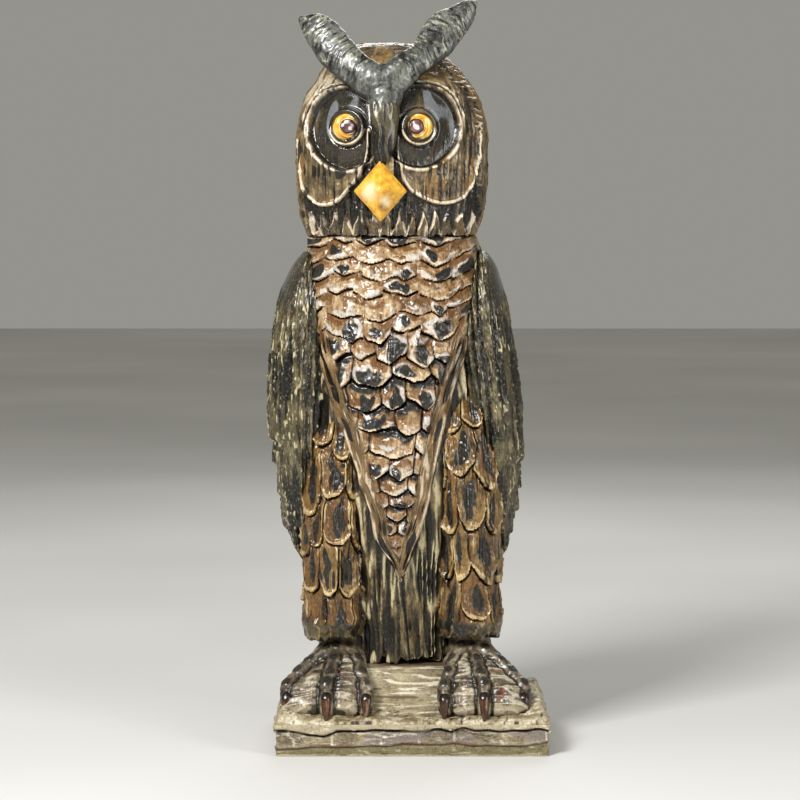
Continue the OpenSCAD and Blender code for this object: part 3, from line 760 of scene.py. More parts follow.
# The pale grey mark colour of this wood is a painted highlight on the dishes.
head_wood = wood("head_wood", (50, 40, 27), (104, 88, 62), (160, 140, 104), [
    ("gold", (136, 106, 60), 0.7), ("scorch", (46, 41, 30), 0.8), ("polish", (36, 36, 33), 0.92),
    ("silver", (140, 144, 148), 0.6), ("tan", (196, 184, 160), 0.8),
    ("worn", (222, 206, 182), 0.9), ("deep", (20, 16, 10), 0.95),
], gloss=(0.24, 0.46), coat=0.45, speck=0.2)
head = carve_head()
done(head, "head", head_wood)

# %% [markdown]
# ## Brow and tufts
# One V-shaped piece: two horns that sweep up and back, and a nose bridge between the eyes. Each
# limb is a lump drawn along its own bent middle line with a flat oval section. The three limbs
# are joined into one skin with a voxel remesh, as the carver has no seams there, and only then
# cut with short strokes across each horn.

# %% Drawing a limb along a bent line
def limb(name, stations, around, up, cap=0.1, flat_power=2.2, facing=(0, -1, 0)):
    """stations: x, y, z of the middle line, half width across, half thickness."""
    piece, turn, rise = lump(name, around, up)
    table = np.array(stations, float)
    steps = np.r_[0, np.cumsum(np.linalg.norm(np.diff(table[:, :3], axis=0), axis=1))]
    level = np.clip((rise - cap) / (1 - 2 * cap), 0, 1) * steps[-1]
    shrink = np.sin(np.clip(np.minimum(rise, 1 - rise) / cap, 0, 1) * np.pi / 2)
    spot = np.stack([through(level, steps, table[:, i]) for i in range(5)], 1)
    ahead = np.stack([through(np.minimum(level + 0.5, steps[-1]), steps, table[:, i])
                      - through(np.maximum(level - 0.5, 0), steps, table[:, i]) for i in range(3)], 1)
    ahead /= np.linalg.norm(ahead, axis=1)[:, None]
    end = np.where(rise < 0.5, -1, 1) * np.cos(np.clip(np.minimum(rise, 1 - rise) / cap, 0, 1) * np.pi / 2)
    across = np.cross(ahead, np.array(facing, float))
    across /= np.linalg.norm(across, axis=1)[:, None]
    out = np.cross(across, ahead)
    s, c = np.sin(turn), np.cos(turn)
    s = np.sign(s) * np.abs(s) ** (2 / flat_power)
    c = np.sign(c) * np.abs(c) ** (2 / flat_power)
    p = (spot[:, :3] + across * (spot[:, 3] * shrink * s)[:, None]
         + out * (spot[:, 4] * shrink * c)[:, None]
         + ahead * (np.minimum(spot[:, 3], spot[:, 4]) * 0.8 * end)[:, None])
    put_points(piece, p)
    return piece


def join_skin(name, parts, voxel, smooth=3):
    """Joins closed lumps into one skin."""
    clear_selection()
    for part in parts:
        part.select_set(True)
    bpy.context.view_layer.objects.active = parts[0]
    bpy.ops.object.join()
    piece = bpy.context.object
    piece.name = piece.data.name = name
    remesh = piece.modifiers.new("skin", "REMESH")
    remesh.mode, remesh.voxel_size = "VOXEL", voxel * MM
    bpy.ops.object.modifier_apply(modifier="skin")
    relax = piece.modifiers.new("relax", "SMOOTH")
    relax.factor, relax.iterations = 0.5, smooth
    bpy.ops.object.modifier_apply(modifier="relax")
    bpy.ops.object.mode_set(mode="EDIT")
    bpy.ops.mesh.select_all(action="SELECT")
    bpy.ops.mesh.normals_make_consistent(inside=False)
    bpy.ops.object.mode_set(mode="OBJECT")
    return piece


# %% Carve the brow
brow_low, brow_high = box_of("brow_tufts")[:2]
HORN_LEFT = [  # x and z from the middle of the V, y of the middle line, half width, half thickness
    (-53.2, -19, 44.2, 2.2, 3), (-51, -20.5, 42.5, 4.6, 4.2), (-46.2, -23.5, 39.8, 8.2, 5.2),
    (-38.1, -29, 32.7, 10.6, 6),
    (-30.4, -34, 22.3, 11.6, 6.5), (-23.2, -38.5, 15.2, 10.8, 7), (-16.2, -41.5, 9.2, 10.8, 7.5),
    (-8.8, -43.5, 3.8, 11.8, 7.5), (0, -44.5, 0, 12, 7.5),
]
HORN_RIGHT = [
    (57.6, -14.5, 54.4, 2.2, 3), (55.6, -15.5, 52.8, 4.4, 4.2), (48.2, -19.5, 45.2, 8.4, 5.2),
    (37.6, -26, 35.8, 11.6, 6),
    (32.0, -30, 28.2, 11.2, 6.5), (24.6, -36, 19.3, 9.0, 7), (16.0, -40.5, 13.6, 9.4, 7.5),
    (8, -43.5, 6.5, 11, 7.5), (0, -44.5, 0, 12, 7.5),
]
NOSE = [
    (1.5, -43.5, 3, 12, 8), (0.3, -46.5, -9, 10.5, 7), (-0.2, -49, -22, 9, 6.2),
    (-0.6, -50.5, -34, 7.6, 5.8),
    (-1.2, -49.0, -43, 6.6, 5.0), (-1.8, -46.5, -48, 5.2, 4),
]
V_MIDDLE = (brow_low[0] + 56.9, brow_high[2] - 54.9)


def carve_brow():
    limbs = []
    for i, line in enumerate((HORN_LEFT, HORN_RIGHT, NOSE)):
        stations = [(V_MIDDLE[0] + x, y, V_MIDDLE[1] + z, w * (1.0 if i == 2 else 1.07), t)
                    for x, y, z, w, t in line]
        limbs.append(limb(f"brow_limb_{i}", stations, 64, 90, cap=0.04))
    piece = join_skin("brow_and_tufts", limbs, 0.75, 6)
    p = points_of(piece)
    x, z = p[:, 0] - V_MIDDLE[0], p[:, 2] - V_MIDDLE[1]
    length = np.where(x < 0, -x * 0.78 + z * 0.62, x * 0.72 + z * 0.69)
    width = np.where(x < 0, x * 0.62 + z * 0.78, -x * 0.69 + z * 0.72)
    horn = ease(9, 20, length)
    nose = ease(-8, -14, z) * ease(16, 12, np.abs(x))
    cuts = gouges(np.stack([length + 0.35 * np.abs(width), width, width * 0], 1), (1.6, 7, 1), 71)
    dents = grain(p, 2.1, 72)
    flutes = gouges(np.stack([x + 0.04 * z + 0.9 * grain(p, 9, 77), z, z * 0], 1), (3.0, 40, 1), 73)
    depth = horn * (0.5 * cuts ** 1.5 + 0.22 * dents - 0.3) + nose * (1.9 * flutes ** 1.5 - 1.2)
    depth += (1 - horn) * (1 - nose) * (
        0.25 * dents + 0.5 * gouges(np.stack([x, z + 0.02 * x * x, z * 0], 1), (14, 3.2, 1), 74) - 0.3)
    # Faces that point down are darkened with the deep colour: painted shade under the horns.
    under = ease(-0.25, -0.6, normals_of(piece)[:, 2]) * (1 - nose)
    carve(piece, depth)
    mark(
        piece,
        worn=np.maximum(horn * ease(0.7, 0.95, cuts) * ease(-0.7, 0.4, grain(p, 5, 75)) * 0.75,
                        nose * 0.6 * ease(0.8, 0.97, flutes)),
        deep=np.maximum(np.maximum(horn * ease(0.5, 0.25, cuts) * 0.8, nose * ease(0.66, 0.4, flutes)),
                        0.9 * under),
        pale=ease(-0.1, 0.5, grain(p, 6, 76)) * (1 - nose),
        olive=nose * 0.8,
    )
    return piece


brow_wood = wood("brow_wood", (34, 35, 34), (74, 75, 72), (118, 119, 112), [
    ("pale", (112, 113, 106), 0.5), ("olive", (86, 76, 52), 0.8), ("worn", (186, 181, 156), 0.65),
    ("deep", (14, 14, 13), 0.95),
], gloss=(0.24, 0.46), coat=0.4, speck=0.3, speck_colour=(206, 200, 170))
brow = carve_brow()
done(brow, "brow_tufts", brow_wood)

# %% [markdown]
# ## Eyes and pupils
# The eyes are turned buttons let into the mounds, painted yellow with a brown rim and a darker
# crescent beside the pupil. Each is a shallow dome with a rolled edge. The pupil is a small blob
# of dark paint and wood, set towards the beak.

# %% Turned buttons
def button(name, node, around, up, back_share=0.35):
    """A dome seen from the front, inside its node's box; rim is 0 in the middle, 1 at the edge."""
    low, high, middle = box_of(node)
    half = (high - low) / 2
    piece, turn, _ = lump(name, around, up)
    unit = points_of(piece) * MM
    radius = np.sqrt(1 - unit[:, 2] ** 2)
    flat = np.sign(radius) * radius ** 0.8
    x = middle[0] + half[0] * flat * np.sin(turn)
    z = middle[2] - half[2] * flat * np.cos(turn)
    depth = np.where(unit[:, 2] > 0, unit[:, 2] ** 0.8, unit[:, 2])
    seat = low[1] + (high[1] - low[1]) * (1 - back_share)
    y = seat - depth * np.where(unit[:, 2] > 0, seat - low[1], high[1] - seat)
    put_points(piece, np.stack([x, y, z], 1))
    clear_selection()
    piece.select_set(True)
    bpy.context.view_layer.objects.active = piece
    bpy.ops.object.mode_set(mode="EDIT")
    bpy.ops.mesh.select_all(action="SELECT")
    bpy.ops.mesh.normals_make_consistent(inside=False)
    bpy.ops.object.mode_set(mode="OBJECT")
    return piece, flat


def make_eyes():
    for side_name, tilt in (("left", 1), ("right", -1)):
        piece, rim = button("eye_" + side_name + "_button", "eye_" + side_name, 96, 72)
        p = points_of(piece)
        pupil = box_of("pupil_" + side_name)[2]
        middle = box_of("eye_" + side_name)[2]
        near = np.hypot(p[:, 0] - pupil[0], p[:, 2] - pupil[2])
        far = np.hypot(p[:, 0] - middle[0] - 1.6 * tilt, p[:, 2] - middle[2])
        front = p[:, 1] < middle[1]
        swirl = np.exp(-((near - 5.9) / 0.55) ** 2) * front
        arc = np.exp(-((far - 7.4) / 0.6) ** 2) * ((p[:, 0] - middle[0]) * tilt < 1) * front
        depth = -0.45 * swirl - 0.35 * arc + 0.12 * grain(p, 2.0, 81)
        carve(piece, depth)
        mark(piece, rim=ease(0.84, 0.93, rim + 0.03 * grain(p, 3, 82)),
             swirl=np.maximum(0.9 * swirl, 0.7 * arc) * (0.6 + 0.4 * grain(p, 2.5, 83)),
             chalk=ease(-0.3, 0.4, grain(p, 3.2, 84)) * 0.8)
        yield side_name, piece


def make_paint(name, base, deep, marks, rough=(0.22, 0.4), coat=0.6, bumpy=0.15):
    r = Recipe(name)
    cloud = r.noise(260, detail=4)
    fine = r.noise(1600, detail=3, rough=0.7)
    colour = r.ramp(cloud, [(0.38, srgb(*deep)), (0.62, srgb(*base))])
    for what, paint, cover in marks:
        colour = r.mix(r.ramp(r.left_by(what), [(0.15, 0), (0.8, cover)]), colour, srgb(*paint))
    colour = r.mix(r.ramp(fine, [(0.62, 0), (0.75, 0.35)]), colour, srgb(70, 44, 22))
    r.link(colour, r.shader.inputs["Base Color"])
    r.link(r.ramp(fine, [(0.3, rough[0]), (0.7, rough[1])]), r.shader.inputs["Roughness"])
    r.shader.inputs["Coat Weight"].default_value = coat
    r.shader.inputs["Coat Roughness"].default_value = 0.12
    r.bump(r.sums("ADD", cloud, r.sums("MULTIPLY", fine, 0.4)), bumpy, 0.0006)
    return r.material


eye_paint = make_paint("eye_paint", (246, 206, 92), (230, 172, 62), [
    ("chalk", (252, 236, 184), 0.75), ("swirl", (150, 66, 30), 0.95), ("rim", (92, 48, 24), 0.9)])
for side_name, piece in make_eyes():
    done(piece, "eye_" + side_name, eye_paint)

# The pale spots on the pupils are a painted highlight.
pupil_paint = make_paint("pupil_paint", (128, 98, 96), (70, 48, 50), [
    ("glint", (222, 212, 214), 0.85), ("rim", (52, 24, 24), 0.9)])
for side_name in ("left", "right"):
    piece, rim = button("pupil_" + side_name + "_bead", "pupil_" + side_name, 48, 36)
    p = points_of(piece)
    carve(piece, 0.25 * grain(p, 2.6, 85))
    # Pale spots of painted highlight on each pupil.
    mark(piece, rim=ease(0.72, 0.92, rim), glint=ease(0.1, 0.6, grain(p, 2.4, 86)))
    done(piece, "pupil_" + side_name, pupil_paint)

# %% [markdown]
# ## The beak
# A lozenge cut to four faces that meet in a blunt ridge. It starts as a four-sided cone laid
# over on its back, its edges are bevelled as if rubbed with a file, and its faces are subdivided
# so that they can be slightly hollow and uneven.

# %% Beak
def make_beak():
    low, high, middle = box_of("beak")
    clear_selection()
    bpy.ops.mesh.primitive_cone_add(vertices=4, radius1=1, radius2=0.1, depth=1)
    piece = bpy.context.object
    piece.name = piece.data.name = "beak_lozenge"
    p = points_of(piece) * MM
    turn = np.arctan2(p[:, 1], p[:, 0])
    radius = np.hypot(p[:, 0], p[:, 1])
    half = (high - low) / 2
    tip = p[:, 2] > 0
    x = middle[0] - 1.6 + radius * np.round(np.cos(turn)) * half[0] * 1.06
    z = middle[2] - radius * np.round(np.sin(turn)) * half[2] * 1.10 + 1.0 * tip
    put_points(piece, np.stack([x, np.where(tip, low[1], middle[1] + 1), z], 1))
    bpy.ops.object.mode_set(mode="EDIT")
    bpy.ops.mesh.select_all(action="SELECT")
    bpy.ops.mesh.bevel(offset=0.9 * MM, segments=3, affect="EDGES")
    bpy.ops.mesh.quads_convert_to_tris()
    bpy.ops.mesh.subdivide(number_cuts=7)
    bpy.ops.mesh.normals_make_consistent(inside=False)
    bpy.ops.object.mode_set(mode="OBJECT")
    p = points_of(piece)
    carve(piece, 0.35 * grain(p, 6, 91) + 0.10 * grain(p, 1.6, 92))
    p = points_of(piece)
    x, z = p[:, 0] - middle[0] + 1.6, p[:, 2] - middle[2]
    burn = np.exp(-(((x - 1.5) / 3.0) ** 2 + ((z + 10.5) / 2.6) ** 2))
    # Two pale patches on the beak's faces are a painted highlight.
    pale = np.maximum(np.exp(-(((x + 7) / 5.5) ** 2 + ((z + 0.5) / 6) ** 2)),
                      np.exp(-(((x - 3) / 3.5) ** 2 + ((z + 6.5) / 4) ** 2)))
    edge = ease(0.84, 0.98, np.abs(x) / half[0] + np.abs(z) / half[2] + 0.06 * grain(p, 4, 93))
    mark(piece, chalk=pale * (0.8 + 0.4 * grain(p, 3, 94)), burn=burn * (0.8 + 0.6 * grain(p, 1.4, 95)),
         rim=edge * 0.5)
    return piece


# On the beak the chalk-white mark colour is a painted highlight.
beak_paint = make_paint("beak_paint", (236, 190, 74), (206, 148, 46), [
    ("chalk", (250, 238, 206), 0.9), ("rim", (140, 86, 24), 0.5), ("burn", (84, 46, 26), 0.85)], bumpy=0.2)
beak = make_beak()
shade(beak, 30)
done(beak, "beak", beak_paint)

# %% [markdown]
# ## Wings
# Two long folded wings. The shoulder is scraped smooth, the middle is cut with long wavering
# flutes and pricked all over, and the feathers end in steps down the outer edge. Each wing is
# one lump through measured stations; the steps are a saw-tooth in its outline.

# %% Wings
WING = [  # share of height, half thickness, middle in y, half depth
    (0, 3, 20, 9), (0.05, 8, 17, 20), (0.12, 13, 14, 30), (0.22, 17, 12, 36), (0.35, 20, 10, 41),
    (0.53, 22, 8, 44.5), (0.72, 22, 8, 43.5), (0.85, 19, 8, 39), (0.93, 14, 8, 31), (0.98, 9, 8, 22),
    (1, 5, 8, 14),
]
OUTER = {  # how far in from the wing's outermost line its outer edge is, by share of height
    "left": [(0, 23), (0.05, 16), (0.12, 10.5), (0.22, 7), (0.35, 3.4), (0.53, 0.6), (0.72, 3),
             (0.91, 11.6), (0.97, 18.5), (1, 24)],
    "right": [(0, 16), (0.05, 9), (0.12, 6.5), (0.22, 3), (0.35, 0.6), (0.53, 1.6), (0.72, 6.5), (0.91, 15),
              (0.97, 20), (1, 25)],
}
STEPS = {"left": (196, 180, 160, 137), "right": (182, 164, 149, 134)}


def carve_wing(which, side_sign, seed):
    node = "wing_" + which
    low, high = box_of(node)[:2]
    piece, turn, rise = lump(node + "_feathers", 230, 250)
    cap = 0.02
    level = np.clip((rise - cap) / (1 - 2 * cap), 0, 1)
    shrink = np.sin(np.clip(np.minimum(rise, 1 - rise) / cap, 0, 1) * np.pi / 2)
    z = low[2] + (high[2] - low[2]) * level
    table = np.array(WING)
    thick, mid_y, half_y = (through(level, table[:, 0], table[:, i]) for i in (1, 2, 3))
    inset = through(level, *np.array(OUTER[which]).T)
    edge = (low[0] if side_sign < 0 else high[0]) - side_sign * inset
    mid_x = edge - side_sign * thick
    across, along = np.sin(turn), np.cos(turn)
    outwards = across * side_sign
    bulge = np.zeros(len(z))
    for top, foot in zip((226,) + STEPS[which][:-1], STEPS[which]):
        inside = (z >= foot) & (z < top)
        t = np.clip((z - foot) / (top - foot), 0, 1)
        bulge += inside * 2.6 * (1 - t) ** 0.8 * ease(0, 0.10, t)
    low_part = ease(224, 200, z)
    y = mid_y - half_y * along * shrink
    x = mid_x + thick * across * shrink + side_sign * (bulge - 1.5 * low_part) * ease(0.35, 0.9, outwards)
    put_points(piece, np.stack([x, y, z], 1))

    arc = turn * 36
    shoulder = ease(272, 292, z + 0.2 * arc * -side_sign) * ease(0.1, 0.6, outwards)
    strip = np.stack([arc + 3.5 * grain(np.stack([arc, arc * 0, z], 1), (20, 1, 60), seed), arc * 0, z], 1)
    flutes = gouges(strip, (8.5, 1, 120), seed + 1)
    narrow = gouges(strip, (3.4, 1, 34), seed + 2)
    pricks = grain(strip, (1.5, 1, 2.6), seed + 3)
    lumps = grain(strip, (3.2, 1, 6), seed + 4)
    side, up, _, _ = scales(arc / 15 + 0.2 * grain(strip, (30, 1, 30), seed + 5), (340 - z) / 36, 0.9, 1.5,
                            seed + 6)
    feather = (2.0 * (1 - up) ** 1.2 - 1.3 * ease(0.93, 0.985, up) - 0.9 * side ** 4
               + 0.6 * np.exp(-(side / 0.07) ** 2))
    behind = ease(1.9, 2.3, np.abs(turn))
    low_feathers = ease(214, 190, z) * ease(0.5, 0.9, outwards)
    cover = np.maximum(behind, 0.6 * low_feathers)
    depth = (1 - shoulder) * ((1 - cover)
                              * (2.6 * flutes ** 1.5 + 1.4 * narrow ** 2 + 0.6 * lumps + 0.5 * pricks - 2.7)
                              + cover * (feather + 0.3 * pricks + 0.4 * narrow ** 2 - 1.6))
    depth += shoulder * (0.5 * gouges(strip, (16, 1, 90), seed + 7) - 0.4)
    carve(piece, depth)
    mark(
        piece,
        worn=(1 - shoulder)
        * np.maximum(ease(0.1, 0.6, pricks) * ease(0.45, 0.85, narrow) * (0.8 + 0.4 * lumps),
                     cover * 0.5 * ease(0.1, 0, up)),
        deep=(1 - shoulder)
        * np.maximum((1 - cover) * np.maximum(ease(0.5, 0.2, flutes), ease(0.45, 0.2, narrow)),
                     cover * ease(0.9, 0.98, up)),
        polish=shoulder,
        moss=ease(0.0, 0.6, grain(strip, (9, 1, 30), seed + 8)) * (1 - shoulder),
        scorch=ease(0.1, 0.7, grain(strip, (7, 1, 48), seed + 9)) * (1 - shoulder)
        + ease(0.75, 1.0, outwards) * 0.35,
    )
    return done(piece, node, wing_wood)


wing_wood = wood("wing_wood", (24, 21, 15), (74, 66, 46), (132, 121, 92), [
    ("moss", (92, 84, 56), 0.55), ("scorch", (22, 20, 14), 0.88), ("polish", (54, 51, 43), 0.8),
    ("worn", (196, 186, 152), 0.9), ("deep", (10, 9, 6), 0.97),
], gloss=(0.26, 0.5), coat=0.35, speck=0.55, speck_colour=(200, 192, 158))
carve_wing("left", -1, 100)
carve_wing("right", 1, 120)

# %% [markdown]
# ## Thighs
# Two feathered legs covered with long hanging scales. Each scale has a raised pale border, a
# rust-brown ground and a long scorched oval in its middle. The legs end in a ragged cuff.

# %% Thighs
THIGH = [  # share of height, width, depth, shift in x, shift in y
    (0, 0.86, 0.80, 0, 0.02), (0.05, 0.95, 0.88, 0, 0), (0.2, 0.94, 0.92, 0, 0), (0.4, 0.98, 0.97, 0, 0),
    (0.6, 1.02, 1.0, 0, 0.02), (0.8, 1.0, 0.98, 0, 0.06), (0.93, 0.82, 0.86, 0, 0.12),
    (1, 0.5, 0.62, 0, 0.2),
]


def carve_thigh(which, side_sign, seed):
    node = "thigh_" + which
    low, high = box_of(node)[:2]
    at = form(node, [(h, w, d, side_sign * -0.16 * ease(0.5, 1, h), sy) for h, w, d, _, sy in THIGH])
    piece, turn, rise = lump(node + "_scales", 236, 240)
    p, turned = pull(turn, rise, low[2] + 1, high[2], at, 0.3, 1, cap=0.02, boxy=2.3)
    p[:, 0] += 2.2 * (side_sign < 0)
    arc = turned * 25
    z = p[:, 2]
    flat = np.stack([arc, arc * 0, z], 1)
    hem = ease(16, 0, z - low[2])
    p[:, 2] += hem * (2.5 * grain(flat, (7, 1, 99), seed) + 1.5 * grain(flat, (3, 1, 99), seed + 1))
    put_points(piece, p)
    across = arc / 17.5 + 0.14 * grain(flat, 22, seed + 2) + 0.05 * grain(flat, 7, seed + 15) + 0.3
    down = (high[2] + 6 - z) / 31 + 0.14 * grain(flat, 20, seed + 3) + 0.03 * grain(flat, 5, seed + 16)
    side, up, row, column = scales(across, down, 0.34, 2.6, seed + 4, stagger=0.5, wander=0.4, ragged=0.4)
    luck, other = chance(row, column, 1, seed), chance(row, column, 2, seed)
    seam = np.abs(side)
    rim_side = ease(0.70, 0.82, seam) * ease(0.99, 0.92, seam) * ease(0.95, 0.8, up)
    rim = np.maximum(ease(0.13, 0.06, up),
                     rim_side * ease(0.0, 0.3, up) * ease(-0.5, 0.2, grain(flat, (4, 1, 10), seed + 17)))
    hollow = ease(0.95, 0.55, np.hypot(side / 0.75, (up - 0.45) / 0.45))
    strokes = gouges(flat, (2.4, 1, 22), seed + 5)
    depth = (1.1 * (1 - up) ** 1.2 + 1.0 * rim - 0.9 * hollow - 1.5 * ease(0.92, 0.985, up)
             - 0.8 * ease(0.93, 0.99, seam) + 1.1 * strokes ** 2 + 0.35 * grain(flat, 1.8, seed + 6)
             + 0.7 * grain(flat, (5, 1, 9), seed + 19) - 1.5)
    cuff = ease(15, 9, z - low[2] + 2 * grain(flat, (8, 1, 30), seed + 7))
    depth = (depth * (1 - cuff)
             + cuff * (1.6 * gouges(flat, (6, 1, 7), seed + 8) + 0.5 * grain(flat, 2.4, seed + 9) - 0.6))
    top = ease(high[2] - 9, high[2] - 3, z)
    depth = depth * (1 - top) + top * (1.2 * gouges(flat, (5, 1, 40), seed + 10) ** 1.5 - 1.0)
    carve(piece, depth)
    oval = ease(1.1, 0.75, np.hypot((side - 0.35 * (other - 0.5)) / 0.46, (up - 0.47) / 0.32)
                + 0.25 * grain(flat, (2.5, 1, 6), seed + 18)) * (luck > 0.15)
    mark(
        piece,
        scorch=oval * (1 - cuff) * (1 - top) + cuff * 0.75 * ease(-0.3, 0.4, grain(flat, 5, seed + 11)),
        worn=np.maximum((1 - cuff) * (1 - top) * rim * (0.7 + 0.5 * grain(flat, 5, seed + 12)),
                        cuff * 0.4 * ease(0.8, 0.95, gouges(flat, (6, 1, 7), seed + 8))),
        deep=np.maximum((ease(0.93, 0.985, up) + ease(0.94, 0.99, seam) * 0.8) * (1 - cuff),
                        0.8 * ease(0.5, 0.25, strokes) * ease(-0.5, 0.3, grain(flat, 6, seed + 20))),
        rust=ease(0.3, 0.9, other + 0.45 * grain(flat, (3, 1, 9), seed + 13)) * (1 - top) * (1 - cuff),
        olive=np.maximum(cuff, top) * 0.9,
        straw=ease(0.55, 0.95, luck + 0.25 * grain(flat, 6, seed + 14)) * (1 - oval),
    )
    return done(piece, node, thigh_wood)


thigh_wood = wood("thigh_wood", (52, 38, 19), (104, 79, 43), (154, 126, 80), [
    ("straw", (146, 118, 70), 0.5), ("rust", (112, 76, 34), 0.6), ("olive", (74, 64, 42), 0.8),
    ("scorch", (28, 27, 23), 0.95),
    ("worn", (196, 174, 128), 0.8), ("deep", (24, 14, 7), 1.0),
], gloss=(0.2, 0.46), coat=0.45, speck=0.2)
carve_thigh("left", -1, 140)
carve_thigh("right", 1, 160)

# %% [markdown]
# ## Tail
# The tail hangs behind, down to the ground. It is a flat lump cut into long overlapping feathers,
# each with a raised shaft and fine barbs.

# %% Tail
TAIL = [
    (0, 0.66, 0.66, 0, 0.05), (0.12, 0.76, 0.80, 0, 0.02), (0.3, 0.88, 0.92, 0, 0), (0.55, 0.98, 1.0, 0, 0),
    (0.8, 1, 0.98, 0, -0.03), (0.93, 0.92, 0.84, 0, -0.08), (1, 0.7, 0.6, 0, -0.15),
]


def carve_tail():
    low, high, middle = box_of("tail")
    piece, turn, rise = lump("tail_feathers", 190, 220)
    p, _ = pull(turn, rise, low[2], high[2], form("tail", TAIL), -0.35, 1, cap=0.02, boxy=2.6)
    put_points(piece, p)
    x, z = p[:, 0] - middle[0], p[:, 2]
    flat = np.stack([x, p[:, 1], z], 1)
    side, up, row, column = scales(x / 15.5 + 0.5 + 0.08 * grain(flat, 30, 181),
                                   (high[2] - z) / 52 + 0.05 * x / 15, 0.55, 1.7, 182, ragged=0.2)
    shaft = np.exp(-(side / 0.07) ** 2) * ease(0.02, 0.1, up)
    barbs = gouges(np.stack([np.abs(side) * 6 + z * 0.8, z * 0.02, x * 0], 1), (1.4, 9, 1), 183)
    strokes = gouges(flat, (3, 30, 40), 184)
    depth = (2.6 * (1 - up) ** 1.2 + 0.9 * shaft - 1.3 * ease(0.94, 0.985, up) - 1.1 * side ** 4
             + 0.45 * barbs + 0.5 * strokes ** 2 - 1.8)
    carve(piece, depth)
    mark(piece, worn=np.maximum(0.7 * ease(0.07, 0, up), 0.6 * shaft),
         deep=np.maximum(ease(0.93, 0.98, up), ease(0.9, 0.99, np.abs(side))),
         moss=ease(0, 0.6, grain(flat, (12, 12, 40), 185)),
         scorch=ease(0.8, 0.2, np.hypot(side, (up - 0.3) * 2)) * (chance(row, column, 1, 186) > 0.4))
    return piece


done(carve_tail(), "tail", wing_wood)

# %% [markdown]
# ## Feet and claws
# Each foot is a fan: an ankle, three toes with polished dark tops, and a wrinkled web between
# them. The limbs are joined into one skin, as on the brow, and then cut. Each toe ends in a hood
# from which a red-brown claw hooks down over the front of the ground.

# %% Feet
TOES = [(25, -51.5, 33), (50.4, -55, 34.5), (76, -46.5, 33)]


